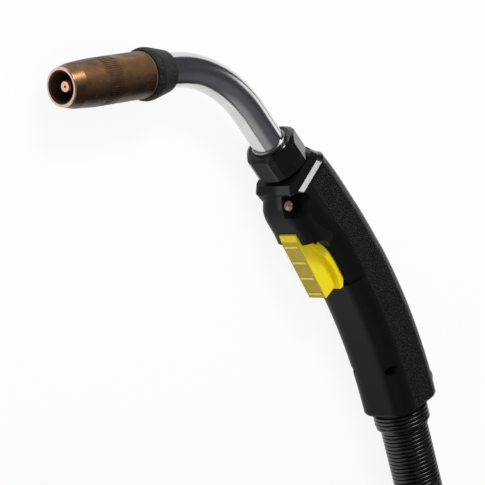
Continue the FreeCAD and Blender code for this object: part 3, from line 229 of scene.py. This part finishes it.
class Shader:
    """The node tree of one finish."""

    def __init__(self, name, tree=None):
        if tree is None:
            self.material = bpy.data.materials.new(name)
            self.material.use_nodes = True
            tree = self.material.node_tree
        tree.nodes.clear()
        self.tree = tree
        self.place = None

    def node(self, kind, settings=None, inputs=None, output=0):
        """Adds a node, sets it, feeds its sockets and returns one of its outputs."""
        made = self.tree.nodes.new(kind)
        for name, setting in (settings or {}).items():
            setattr(made, name, setting)
        for name, given in (inputs or {}).items():
            if isinstance(given, Value):
                self.tree.links.new(given.output, made.inputs[name])
            elif made.inputs[name].type == "RGBA" and len(given) == 3:
                made.inputs[name].default_value = (*given, 1)
            else:
                made.inputs[name].default_value = given
        return Value(self, made.outputs[output]) if len(made.outputs) else None

    def point(self):
        """The place on the torch, in metres."""
        if self.place is None:
            self.place = self.node("ShaderNodeTexCoord").part("Object")
        return self.place

    def vector(self, operation, first, second, output=0):
        """A Vector Math node on two vectors."""
        return self.node("ShaderNodeVectorMath", {"operation": operation},
                         {0: first, 1: second}, output)

    def coordinates(self):
        """The place's X, Y and Z."""
        split = self.node("ShaderNodeSeparateXYZ", {}, {0: self.point()})
        return split.part("X"), split.part("Y"), split.part("Z")

    def along(self, axis, start=(0, 0, 0)):
        """Distance from start along an axis."""
        away = self.vector("SUBTRACT", self.point(), tuple(start))
        return self.vector("DOT_PRODUCT", away, tuple(axis), "Value")

    def stretched(self, axis, by):
        """The place with its distances along one axis multiplied."""
        shift = self.node("ShaderNodeVectorMath", {"operation": "SCALE"},
                          {0: tuple(axis), "Scale": self.along(axis) * (by - 1)})
        return self.vector("ADD", self.point(), shift)

    def noise(self, size, detail=3.0, roughness=0.55, place=None, distortion=0.0):
        """Noise from 0 to 1 whose grains are about as large as size."""
        return self.node("ShaderNodeTexNoise", {}, {
            "Vector": place or self.point(), "Scale": 1 / size, "Detail": detail,
            "Roughness": roughness, "Distortion": distortion})

    def cells(self, size):
        """Distance to the nearest of scattered points."""
        return self.node("ShaderNodeTexVoronoi", {"feature": "SMOOTH_F1"}, {
            "Vector": self.point(), "Scale": 1 / size, "Smoothness": 0.6, "Randomness": 1.0})

    def mix(self, factor, first, second):
        """A colour from first at 0 to second at 1."""
        return self.node("ShaderNodeMix", {"data_type": "RGBA"},
                         {0: factor, 6: first, 7: second}, 2)

    def bump(self, height, distance, strength):
        """Fine relief that is distance deep where the height is 1."""
        return self.node("ShaderNodeBump", {}, {
            "Height": height, "Distance": distance, "Strength": strength})

    def finish(self, **sockets):
        """The surface itself, with the given sockets."""
        inputs = {name.replace("_", " "): given for name, given in sockets.items()}
        surface = self.node("ShaderNodeBsdfPrincipled", {}, inputs)
        self.node("ShaderNodeOutputMaterial", {}, {"Surface": surface})
        return self.material


# Sizes and colours that a user would change

def colour(name, description, default):
    """A colour that the panel shows."""
    return bpy.props.FloatVectorProperty(
        name=name, description=description, default=default, size=3, min=0, max=1,
        subtype="COLOR")


def distance(name, description, default):
    """A size that the panel shows, given in millimetres."""
    return bpy.props.FloatProperty(
        name=name, description=description, default=default * MM, min=0, precision=5,
        unit="LENGTH", subtype="DISTANCE")


class TorchMetals(bpy.types.PropertyGroup):
    """Colours of the metal pieces."""

    nozzle: colour("Nozzle", "Copper browned by heat", (0.34, 0.170, 0.075))
    nozzle_dark: colour("Nozzle stains", "Darkest heat stains of the copper", (0.085, 0.045, 0.025))
    # Also the colour of the painted highlight on the nozzle's rear edge
    lip: colour("Nozzle edge", "Bare copper on the nozzle's edges", (0.86, 0.60, 0.47))
    tip: colour("Contact tip", "Bright copper", (0.87, 0.50, 0.36))
    steel: colour("Neck", "Polished steel", (0.70, 0.69, 0.68))
    zinc: colour("Screws", "Yellowish zinc plate", (0.95, 0.84, 0.52))
    brass: colour("Brass", "Turned brass inside the torch", (0.72, 0.55, 0.26))
    dull_steel: colour("Ferrule", "Dull steel", (0.30, 0.29, 0.31))
    blackened: colour("Blackened", "Blackened metal", (0.03, 0.03, 0.032))


class TorchPlastics(bpy.types.PropertyGroup):
    """Colours of the mouldings and rubber."""

    handle: colour("Handle", "Pebbled black nylon", (0.006, 0.006, 0.0065))
    nut: colour("Nut", "Glossy black nylon", (0.005, 0.005, 0.0055))
    trigger: colour("Trigger", "Yellow moulding", (0.98, 0.79, 0.004))
    # Painted shade on the finger's face, and a painted highlight on the ribs
    trigger_face_painted_shade: colour("Finger face", "Trigger where the finger rests", (0.46, 0.33, 0.02))
    trigger_rib_painted_highlight: colour("Trigger ribs", "Cross ribs, rubbed pale", (0.95, 0.85, 0.28))
    cap: colour("Cap", "Insulating cap", (0.012, 0.012, 0.011))
    cap_spot: colour("Cap flecks", "Lighter flecks of the cap", (0.085, 0.080, 0.060))
    cover: colour("Plug", "Black moulding of the plug", (0.012, 0.012, 0.013))
    cable: colour("Cable", "Black rubber jacket", (0.012, 0.012, 0.013))
    insulator: colour("Insulators", "Pale heat-resistant plastic", (0.78, 0.76, 0.70))
    wire: colour("Switch wires", "Insulation of the switch wires", (0.45, 0.03, 0.02))


class TorchSpring(bpy.types.PropertyGroup):
    """The strain relief spring."""

    wire: distance("Wire", "Diameter of the spring's wire", 2.0)
    wide: distance("Wide end", "Outside of the turns over the bush", 33.6)
    narrow: distance("Narrow end", "Outside of the turns over the cable", 28.7)
    pitch: distance("Pitch", "From one turn to the next", 2.45)
    start: distance("Start", "First turn behind the handle", 1.3)
    turns: bpy.props.IntProperty(
        name="Turns", description="Turns of the spring", default=39, min=4)
    wide_turns: bpy.props.FloatProperty(
        name="Wide turns", description="Turns that sit on the bush", default=3.2)
    step_turns: bpy.props.FloatProperty(
        name="Step", description="Turns from the wide to the narrow end", default=1.6)
    colour: colour("Colour", "Black lacquer on the wire", (0.005, 0.005, 0.005))


class TorchCable(bpy.types.PropertyGroup):
    """The cable and its coil."""

    diameter: distance("Diameter", "Outside of the cable", 20.0)
    straight: distance("Held", "Cable from the handle to past the spring", 104.0)
    run: distance("Run", "From there to the coil", 30.0)
    drop: distance("Drop", "Length in which the cable comes down to the surface", 75.0)
    coil_radius: distance("Coil", "Centre line of the outermost turn", 112.0)
    pitch: distance("Pitch", "From one turn of the coil to the next", 20.6)
    climb: distance("Climb", "From the lower layer to the upper", 20.8)
    hump: distance("Hump", "Rise of the last turn where it crosses the cable", 8.0)
    tail: distance("Tail", "Cable from the coil to the plug", 80.0)
    into_plug: distance("In the plug", "Cable inside the plug and its boot", 60.0)
    turns: bpy.props.FloatProperty(
        name="Turns", description="Turns of the coil in its two layers", default=4.452, min=1)


class TorchStudio(bpy.types.PropertyGroup):
    """Floor, light and camera."""

    floor: colour("Floor", "Colour of the floor", (0.92, 0.92, 0.92))
    level: bpy.props.FloatProperty(
        name="Level", description="Light from all round", default=0.60, min=0)
    key: bpy.props.FloatProperty(
        name="Key", description="Power of the soft key light", default=6.0, min=0,
        unit="POWER")
    lens: bpy.props.FloatProperty(
        name="Lens", description="Focal length in millimetres", default=178.1, min=10)


# Finishes

def about_nozzle(shader):
    """Distances behind the nozzle's front, across its axis in the middle plane, and from it."""
    along = shader.along(NOZZLE_AXIS, NOZZLE_FRONT)
    across = shader.along(NOZZLE_CROWN, NOZZLE_FRONT)
    height = shader.coordinates()[2]
    return along, across, (across * across + height * height).maths("SQRT")


def nozzle_copper():
    """Copper browned by heat, scratched and dark in its bore, with painted shade below and on its
    crown, a front lip worn to the copper and a painted highlight on its rear edge.
    """
    tints = bpy.context.scene.torch_metals
    shader = Shader("copper_nozzle")
    along, across, radius = about_nozzle(shader)
    cloud = shader.noise(9 * MM, 4, 0.6, shader.stretched(NOZZLE_AXIS, 0.45), 0.6)
    fine = shader.noise(0.7 * MM, 3, 0.6, shader.stretched(NOZZLE_AXIS, 3.0))
    stain = cloud.step(0.38, 0.70)
    tone = shader.mix(stain * 0.8, tuple(tints.nozzle), tuple(tints.nozzle_dark))
    warm = shader.noise(4 * MM, 2, 0.5).step(0.45, 0.7)
    tone = shader.mix(warm * 0.35, tone, COPPER_WARM)
    # Painted shade: darker below and on the crown, mottled by the cloud
    painted_shade = (1 - across.step(-8 * MM, 4 * MM)) * 0.95 + across.step(8.0 * MM, 12.2 * MM) * 0.6
    tone = shader.mix(painted_shade * (0.75 + 0.4 * cloud), tone, COPPER_PAINTED_SHADE)
    scratch = shader.noise(1.4 * MM, 1, 0.4, shader.stretched(NOZZLE_AXIS, 0.12), 1.2)
    scratch = scratch.band(0.495, 0.505, 0.004) * shader.noise(6 * MM, 1).step(0.5, 0.6)
    tone = shader.mix(scratch * 0.5, tone, COPPER_SCRATCH)
    rim = radius.step(BORE_DARK + 0.25 * MM, BORE_DARK + 0.5 * MM)
    lip = (1 - along.step(0.3 * MM, 1.1 * MM)) * rim
    # Painted highlight: a pale line on the rear edge, in the lip's colour
    heel_painted_highlight = along.band(NOZZLE_LENGTH - 1.0 * MM, NOZZLE_LENGTH + 1 * MM, 0.2 * MM)
    heel_painted_highlight = heel_painted_highlight * radius.step(HEEL_HIGHLIGHT_RADIUS, HEEL_HIGHLIGHT_RADIUS + 0.3 * MM)
    # The worn front lip and the painted highlight on the rear edge, together
    worn_lip_and_painted_highlight = (lip + heel_painted_highlight) * (0.55 + 0.6 * fine)
    tone = shader.mix(worn_lip_and_painted_highlight, tone, tuple(tints.lip))
    bore = 1 - radius.step(BORE_DARK, BORE_DARK + 0.3 * MM)
    tone = shader.mix(bore * (0.75 + 0.25 * fine), tone, BORE_SOOT)
    grain = shader.bump(fine + cloud * 0.7, 0.05 * MM, 0.35)
    return shader.finish(
        Base_Color=tone, Metallic=0.82 + 0.18 * lip - bore * 0.5, Normal=grain,
        Roughness=0.30 + 0.14 * stain + 0.10 * fine - 0.10 * lip + 0.25 * bore)


def tip_copper():
    """Bright copper with fine turning marks and painted shade in its wire bore."""
    tints = bpy.context.scene.torch_metals
    shader = Shader("copper_tip")
    along, across, radius = about_nozzle(shader)
    rings = shader.noise(0.35 * MM, 1, 0.5, shader.stretched(NOZZLE_CROWN, 0.1))
    heat = shader.noise(2.5 * MM, 3).step(0.4, 0.7) * along.step(3 * MM, 9 * MM)
    tone = shader.mix(heat * 0.7, tuple(tints.tip), TIP_HEATED)
    # Painted shade: the wire bore near black and less metallic
    painted_bore_shade = 1 - radius.step(0.55 * MM, 0.8 * MM)
    tone = shader.mix(painted_bore_shade, tone, TIP_PAINTED_SHADE)
    return shader.finish(Base_Color=tone, Metallic=1 - painted_bore_shade * 0.6,
                         Roughness=0.22 + 0.2 * heat + 0.08 * rings,
                         Normal=shader.bump(rings, 0.02 * MM, 0.3))


def turned_metal(name, tint, rough, wear):
    """Machined or plated metal with fine marks and uneven tone."""
    shader = Shader(name)
    marks = shader.noise(0.25 * MM, 2, 0.6, shader.stretched((1, 0, 0), 0.15))
    cloud = shader.noise(3 * MM, 3)
    darker = tuple(channel * 0.45 for channel in tint)
    tone = shader.mix(cloud.step(0.45, 0.75) * wear, tuple(tint), darker)
    return shader.finish(Base_Color=tone, Metallic=1.0, Roughness=rough + 0.15 * marks,
                         Normal=shader.bump(marks + cloud, 0.03 * MM, 0.4))


def neck_steel():
    """Polished steel tube with faint drawing lines and handling marks."""
    tints = bpy.context.scene.torch_metals
    shader = Shader("neck_steel")
    cloud = shader.noise(14 * MM, 4, 0.6)
    wipe = shader.noise(2.2 * MM, 3, 0.6, shader.stretched((0.82, 0.57, 0), 0.12), 0.5)
    speck_and_painted_glint = shader.noise(0.8 * MM, 2, 0.7).step(0.66, 0.74)
    tone = shader.mix(cloud.step(0.35, 0.75) * 0.30, tuple(tints.steel), STEEL_CLOUD)
    tone = shader.mix(speck_and_painted_glint * 0.35, tone, STEEL_SPECK)
    return shader.finish(
        Base_Color=tone, Metallic=1.0, Roughness=0.07 + 0.08 * wipe + 0.10 * cloud,
        Normal=shader.bump(wipe * 0.5 + cloud * 0.9, 0.09 * MM, 0.35))


def zinc_plate():
    """Yellowish passivated zinc that shifts a little in tone."""
    tints = bpy.context.scene.torch_metals
    shader = Shader("zinc")
    drift = shader.noise(2.5 * MM, 2)
    marks = shader.noise(0.3 * MM, 2, 0.6)
    tone = shader.mix(drift.step(0.35, 0.65), tuple(tints.zinc), ZINC_DRIFT)
    tone = shader.mix(marks.step(0.55, 0.75) * 0.6, tone, ZINC_MARK)
    return shader.finish(Base_Color=tone, Metallic=0.55, Roughness=0.26 + 0.2 * marks,
                         Normal=shader.bump(marks, 0.04 * MM, 0.5))


def spring_lacquer():
    """Glossy black lacquer over drawn wire, greyed by grime in places."""
    tints = bpy.context.scene.torch_spring
    shader = Shader("spring_steel")
    grime = shader.noise(3 * MM, 4, 0.6)
    fine = shader.noise(0.4 * MM, 2)
    tone = shader.mix(grime.step(0.5, 0.75) * 0.5, tuple(tints.colour), SPRING_GRIME)
    return shader.finish(Base_Color=tone, Metallic=0.0, Roughness=0.20 + 0.22 * grime,
                         Coat_Weight=0.25, Coat_Roughness=0.14,
                         Normal=shader.bump(fine + grime * 0.5, 0.03 * MM, 0.4))


def handle_nylon():
    """Black nylon: pebbled above the trigger side, smooth below and on the shoulder.

    The side with the screw heads is the glossier one, and its pebble has painted glints as pale
    specks.
    """
    tints = bpy.context.scene.torch_plastics
    shader = Shader("handle_plastic")
    along, up, out = shader.coordinates()
    bend = (along - HANDLE_BEND_START).maths("MAXIMUM", 0.0)
    drop = bend * bend * (0.5 / HANDLE_BEND_RADIUS) + bend.maths("POWER", 4.0) * (
        0.125 / HANDLE_BEND_RADIUS ** 3)
    above = up + drop
    edge = along.step(70 * MM, 100 * MM) * (2.0 * MM)
    grip = (above + edge).step(-5.5 * MM, -3.0 * MM) * along.step(SHOULDER_END, PEBBLE_START)
    pebble = shader.cells(1.0 * MM)
    sand = shader.noise(0.8 * MM, 2, 0.5)
    height = (pebble * -1.6 + sand * 1.1) * grip + shader.noise(1.6 * MM, 3) * 0.06
    screw_side = out.step(0, 5 * MM)
    # Painted glints: pale specks on the pebble, on the screw-head side only
    speck_and_painted_glint = (1 - pebble.step(0.06, 0.20)) * grip * screw_side
    shoulder = (1 - along.step(SHOULDER_END, PEBBLE_START)) * screw_side
    dust = shader.noise(10 * MM, 4, 0.6)
    tone = shader.mix(speck_and_painted_glint * 0.95, tuple(tints.handle), PEBBLE_PAINTED_GLINT)
    tone = shader.mix(dust.step(0.5, 0.8) * 0.35, tone, HANDLE_DUST)
    return shader.finish(
        Base_Color=tone, Roughness=0.34 + 0.10 * dust - 0.10 * shoulder,
        Coat_Weight=grip * screw_side * 0.35 + shoulder * 0.70, Coat_Roughness=0.15,
        Specular_IOR_Level=0.14, Normal=shader.bump(height, 0.6 * MM, 0.9))


def gloss_nylon():
    """Glossy black nylon of the locking nut, faintly uneven and glossier on its upper side."""
    tints = bpy.context.scene.torch_plastics
    shader = Shader("nut_plastic")
    cloud = shader.noise(5 * MM, 3)
    fine = shader.noise(0.6 * MM, 3, 0.6)
    scuff = shader.noise(1.8 * MM, 4, 0.7, shader.stretched((1, 0, 0), 0.4)).step(0.6, 0.72)
    tone = shader.mix(scuff * 0.4, tuple(tints.nut), NUT_SCUFF)
    height = shader.coordinates()[2]
    return shader.finish(Base_Color=tone, Roughness=0.17 + 0.12 * cloud + 0.25 * scuff,
                         Coat_Weight=height.step(2 * MM, 10 * MM) * 0.6, Coat_Roughness=0.10,
                         Specular_IOR_Level=0.14,
                         Normal=shader.bump(cloud + fine * 0.3, 0.12 * MM, 0.5))


def trigger_moulding():
    """Yellow moulding with painted shade on the finger's face and painted highlights on its cross
    ribs.
    """
    tints = bpy.context.scene.torch_plastics
    shader = Shader("trigger_plastic")
    cloud = shader.noise(7 * MM, 3)
    fine = shader.noise(0.5 * MM, 3, 0.6)
    below = shader.along(FINGER_OUT, FINGER_FRONT)
    face = below.band(-0.35 * MM, 0.12 * MM, 0.08 * MM)
    rib = below.step(0.2 * MM, 0.36 * MM)
    # Painted shade on the finger's face and painted highlights on the ribs' tops
    tone = shader.mix(face * (0.62 + 0.4 * cloud), tuple(tints.trigger), tuple(tints.trigger_face_painted_shade))
    tone = shader.mix(rib * 0.75, tone, tuple(tints.trigger_rib_painted_highlight))
    grime = shader.noise(3 * MM, 4, 0.6).step(0.55, 0.8)
    tone = shader.mix(grime * 0.18, tone, TRIGGER_GRIME)
    return shader.finish(
        Base_Color=tone, Roughness=0.30 + 0.14 * cloud + 0.12 * face,
        Normal=shader.bump(fine * 0.5 + cloud * 0.4, 0.05 * MM, 0.4))


def mottled_cap():
    """Charcoal moulding, flecked and scorched."""
    tints = bpy.context.scene.torch_plastics
    shader = Shader("insulating_cap")
    fleck = shader.noise(0.9 * MM, 4, 0.7)
    cloud = shader.noise(5 * MM, 3)
    mask = fleck.step(0.52, 0.66) * (0.35 + 0.8 * cloud)
    tone = shader.mix(mask, tuple(tints.cap), tuple(tints.cap_spot))
    ash = shader.noise(2.4 * MM, 4, 0.7).step(0.62, 0.74)
    tone = shader.mix(ash * 0.35, tone, CAP_ASH)
    return shader.finish(Base_Color=tone, Roughness=0.40 + 0.25 * cloud,
                         Specular_IOR_Level=0.22,
                         Normal=shader.bump(fleck + cloud, 0.16 * MM, 0.6))


def plain_moulding(name, tint, rough, grain):
    """A moulded or rubber finish with its own grain and a slightly uneven tone."""
    shader = Shader(name)
    cloud = shader.noise(8 * MM, 3)
    fine = shader.noise(grain, 3, 0.6)
    lighter = tuple(min(1, channel * 1.7 + 0.01) for channel in tint)
    tone = shader.mix(cloud.step(0.4, 0.8) * 0.5, tuple(tint), lighter)
    return shader.finish(Base_Color=tone, Roughness=rough + 0.12 * cloud,
                         Normal=shader.bump(fine + cloud * 0.3, grain * 0.2, 0.4))


def dress(slots):
    """Gives each CAD node the finish of its slot."""
    named = {}
    for part in frame["record"]["subparts"]:
        named[part["node"]] = part["material_slot"]
    for node, obj in frame["nodes"].items():
        finish = slots.get(named.get(node))
        if finish:
            obj.data.materials.clear()
            obj.data.materials.append(finish)


def curve(name, thickness, finish, points, body):
    """A round wire along a smooth line. The thickness is in its points, where its box reads it."""
    data = bpy.data.curves.new(name, "CURVE")
    data.dimensions = "3D"
    data.bevel_depth = 1
    data.bevel_resolution = 4
    data.use_fill_caps = True
    line = data.splines.new("NURBS")
    line.points.add(len(points) - 1)
    for knot, point in zip(line.points, points):
        knot.co = (*point, 1)
        knot.radius = thickness
    line.order_u = 3
    line.use_endpoint_u = True
    line.resolution_u = 6
    obj = bpy.data.objects.new(name, data)
    bpy.context.scene.collection.objects.link(obj)
    data.materials.append(finish)
    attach(obj, body)
    return obj


class TORCH_OT_metals(bpy.types.Operator):
    """Give the nozzle, neck, tip, screws and inner metal pieces their finishes"""

    bl_idname = "torch.metals"
    bl_label = "Metal finishes"

    def execute(self, context):
        tints = context.scene.torch_metals
        dress({
            "copper_nozzle": nozzle_copper(),
            "copper_tip": tip_copper(),
            "neck_steel": neck_steel(),
            "zinc": zinc_plate(),
            "brass": turned_metal("brass", tuple(tints.brass), 0.25, 0.5),
            "grey_metal": turned_metal("grey_metal", tuple(tints.dull_steel), 0.32, 0.6),
            "blackened_metal": turned_metal("blackened_metal", tuple(tints.blackened), 0.40, 0.5),
        })
        return {"FINISHED"}


class TORCH_OT_plastics(bpy.types.Operator):
    """Give the handle, nut, trigger, cap and plug their finishes"""

    bl_idname = "torch.plastics"
    bl_label = "Plastic finishes"

    def execute(self, context):
        tints = context.scene.torch_plastics
        dress({
            "handle_plastic": handle_nylon(),
            "nut_plastic": gloss_nylon(),
            "trigger_plastic": trigger_moulding(),
            "insulating_cap": mottled_cap(),
            "black_plastic": plain_moulding("black_plastic", tuple(tints.cover), 0.40, 0.5 * MM),
            "white_plastic": plain_moulding("white_plastic", tuple(tints.insulator), 0.45,
                                            0.4 * MM),
            "seal_rubber": plain_moulding("seal_rubber", tuple(tints.cable), 0.55, 0.4 * MM),
            "red_wire": plain_moulding("red_wire", tuple(tints.wire), 0.45, 0.3 * MM),
        })
        return {"FINISHED"}


class TORCH_OT_spring(bpy.types.Operator):
    """Wind the strain relief spring"""

    bl_idname = "torch.spring"
    bl_label = "Spring"

    def execute(self, context):
        sizes = context.scene.torch_spring
        wide = (sizes.wide - sizes.wire) / 2
        narrow = (sizes.narrow - sizes.wire) / 2
        pull = knot_reach(2 * math.pi / SPRING_KNOTS)
        points = []
        for index in range(sizes.turns * SPRING_KNOTS + 1):
            turns = index / SPRING_KNOTS
            step = eased((turns - sizes.wide_turns) / sizes.step_turns)
            radius = (wide + (narrow - wide) * step) / pull
            angle = 2 * math.pi * turns
            points.append(HANDLE_END + HANDLE_AXIS * (sizes.start + sizes.pitch * turns)
                          + HANDLE_UP * (radius * math.cos(angle))
                          + Vector((0, 0, radius * math.sin(angle))))
        spring = curve("spring_wire", sizes.wire / 2, spring_lacquer(), points, "handle")
        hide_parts("strain_relief_spring")
        return {"FINISHED"}


class TORCH_OT_cable(bpy.types.Operator):
    """Lay the cable from the handle to its plug"""

    bl_idname = "torch.cable"
    bl_label = "Cable"

    def execute(self, context):
        sizes = context.scene.torch_cable
        tints = context.scene.torch_plastics
        rubber = plain_moulding("cable_rubber", tuple(tints.cable), 0.42, 0.6 * MM)
        dress({"cable_rubber": rubber})
        leave = HANDLE_END + HANDLE_AXIS * sizes.straight
        held = [spine(along) for along in HELD_PLACES]
        held += [HANDLE_END + HANDLE_AXIS * (sizes.straight * part) for part in (0.05, 0.5, 1)]
        inner = curve("held_cable", sizes.diameter / 2, rubber, held, "handle")
        inner.data.bevel_resolution = 8
        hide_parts("cable_inner")

        lay = SURFACE + sizes.diameter / 2
        points = [leave + HANDLE_AXIS * (sizes.run * part)
                  + Vector((0, 0, lay * eased(sizes.run * part / sizes.drop)))
                  for part in (0, 0.33, 0.67)]
        centre = leave + HANDLE_AXIS * sizes.run - HANDLE_UP * sizes.coil_radius
        middle = sizes.turns / 2
        count = int(sizes.turns * COIL_KNOTS)
        pull = knot_reach(2 * math.pi * sizes.turns / count)
        for index in range(count + 1):
            turns = sizes.turns * index / count
            away = abs(turns - middle)
            if away < LAYER_CHANGE:
                away = (away * away + LAYER_CHANGE * LAYER_CHANGE) / (2 * LAYER_CHANGE)
            radius = (sizes.coil_radius - sizes.pitch * (middle - away)) / pull
            gone = sizes.run + 2 * math.pi * sizes.coil_radius * turns
            height = lay * eased(gone / sizes.drop)
            climbed = (turns - middle + LAYER_CHANGE) / (2 * LAYER_CHANGE)
            height += sizes.climb * eased(climbed)
            rise = eased((turns - HUMP_START) / HUMP_RAMP)
            height += sizes.hump * rise * eased((HUMP_END - turns) / HUMP_RAMP)
            out = heading(90 - HANDLE_TURN - 360 * turns)
            points.append(centre + out * radius + Vector((0, 0, height)))
        tail = heading(-HANDLE_TURN - 360 * sizes.turns)
        off = points[-1]
        plug = off + tail * sizes.tail
        plug.z = SURFACE + PLUG_HEIGHT
        points += [off.lerp(plug, 0.35), off.lerp(plug, 0.7), plug, plug + tail * sizes.into_plug]
        cable = curve("cable", sizes.diameter / 2, rubber, points, "handle")
        cable.data.bevel_resolution = 8
        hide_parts("cable_run", "cable_coil")
        return {"FINISHED"}


class TORCH_OT_studio(bpy.types.Operator):
    """Set the floor, the light and the camera"""

    bl_idname = "torch.studio"
    bl_label = "Studio"

    def execute(self, context):
        sizes = context.scene.torch_studio
        scene = context.scene
        scene.view_settings.view_transform = "Standard"
        right = CAMERA_RIGHT.normalized()
        back = CAMERA_BACK.normalized()
        up = back.cross(right).normalized()
        turn = Matrix((right, up, back)).transposed().to_4x4()
        lens = bpy.data.cameras.new("camera")
        lens.lens = sizes.lens
        lens.clip_end = 20
        camera = bpy.data.objects.new("camera", lens)
        camera.matrix_world = Matrix.Translation(CAMERA_PLACE) @ turn
        scene.collection.objects.link(camera)
        scene.camera = camera

        mesh = bpy.data.meshes.new("floor")
        corners = [(-1, -1), (1, -1), (1, 1), (-1, 1)]
        mesh.from_pydata([(FLOOR_HALF * x, FLOOR_HALF * y, SURFACE - FLOOR_GAP)
                          for x, y in corners], [], [(0, 1, 2, 3)])
        floor = bpy.data.objects.new("floor", mesh)
        scene.collection.objects.link(floor)
        shader = Shader("floor")
        rays = shader.node("ShaderNodeLightPath")
        seen = rays.part("Is Camera Ray").maths(
            "MAXIMUM", rays.part("Is Glossy Ray")).maths(
            "MAXIMUM", rays.part("Is Transmission Ray"))
        matt = shader.node("ShaderNodeBsdfDiffuse", {}, {"Color": tuple(sizes.floor)})
        glow = shader.node("ShaderNodeEmission", {}, {"Color": (1, 1, 1), "Strength": 1.0})
        shown = shader.node("ShaderNodeMixShader", {}, {0: seen * FLOOR_GLOW, 1: matt, 2: glow})
        shader.node("ShaderNodeOutputMaterial", {}, {"Surface": shown})
        mesh.materials.append(shader.material)

        world = bpy.data.worlds.new("studio")
        scene.world = world
        world.use_nodes = True
        air = Shader("studio", world.node_tree)
        rays = air.node("ShaderNodeLightPath")
        facing = air.node("ShaderNodeTexCoord").part("Generated")
        shine = ROOM
        for way, start, full, strength in BRIGHT_FIELDS:
            middle = tuple(Vector(way).normalized())
            close = air.vector("DOT_PRODUCT", facing, middle, "Value")
            shine = shine + close.step(start, full) * strength
        mirror = air.node("ShaderNodeCombineColor", {}, {
            0: shine, 1: shine, 2: shine + ROOM_BLUE})
        plain = air.mix(rays.part("Is Glossy Ray"), (sizes.level,) * 3, mirror)
        clear = rays.part("Is Camera Ray").maths("MAXIMUM", rays.part("Is Transmission Ray"))
        sky = air.node("ShaderNodeBackground", {}, {"Color": air.mix(clear, plain, (1, 1, 1))})
        air.node("ShaderNodeOutputWorld", {}, {"Surface": sky})

        lamp = bpy.data.lights.new("key", "AREA")
        lamp.shape = "RECTANGLE"
        lamp.size = KEY_WIDTH
        lamp.size_y = KEY_HEIGHT
        lamp.energy = sizes.key
        key = bpy.data.objects.new("key", lamp)
        spot = back * KEY_BACK + up * KEY_UP + right * KEY_RIGHT
        aim = spot.to_track_quat("Z", "Y").to_matrix().to_4x4()
        key.matrix_world = Matrix.Translation(spot) @ aim
        scene.collection.objects.link(key)
        return {"FINISHED"}


class TORCH_PT_panel(bpy.types.Panel):
    """The torch's pieces and settings."""

    bl_idname = "TORCH_PT_panel"
    bl_label = "Welding torch"
    bl_space_type = "VIEW_3D"
    bl_region_type = "UI"
    bl_category = "Torch"

    def draw(self, context):
        for operator, group in STEPS:
            box = self.layout.box()
            box.operator(operator.bl_idname)
            settings = getattr(context.scene, group)
            for name in settings.bl_rna.properties.keys():
                if name not in ("name", "rna_type"):
                    box.prop(settings, name)


GROUPS = {
    "torch_metals": TorchMetals,
    "torch_plastics": TorchPlastics,
    "torch_spring": TorchSpring,
    "torch_cable": TorchCable,
    "torch_studio": TorchStudio,
}
STEPS = [
    (TORCH_OT_studio, "torch_studio"),
    (TORCH_OT_cable, "torch_cable"),
    (TORCH_OT_spring, "torch_spring"),
    (TORCH_OT_metals, "torch_metals"),
    (TORCH_OT_plastics, "torch_plastics"),
]


def register():
    for name, group in GROUPS.items():
        bpy.utils.register_class(group)
        setattr(bpy.types.Scene, name, bpy.props.PointerProperty(type=group))
    for operator, group in STEPS:
        bpy.utils.register_class(operator)
    bpy.utils.register_class(TORCH_PT_panel)


def unregister():
    bpy.utils.unregister_class(TORCH_PT_panel)
    for operator, group in reversed(STEPS):
        bpy.utils.unregister_class(operator)
    for name, group in GROUPS.items():
        delattr(bpy.types.Scene, name)
        bpy.utils.unregister_class(group)


def main():
    """Dresses the torch."""
    register()
    bpy.ops.torch.studio()
    bpy.ops.torch.cable()
    bpy.ops.torch.spring()
    bpy.ops.torch.metals()
    bpy.ops.torch.plastics()


if __name__ == "__main__":
    main()
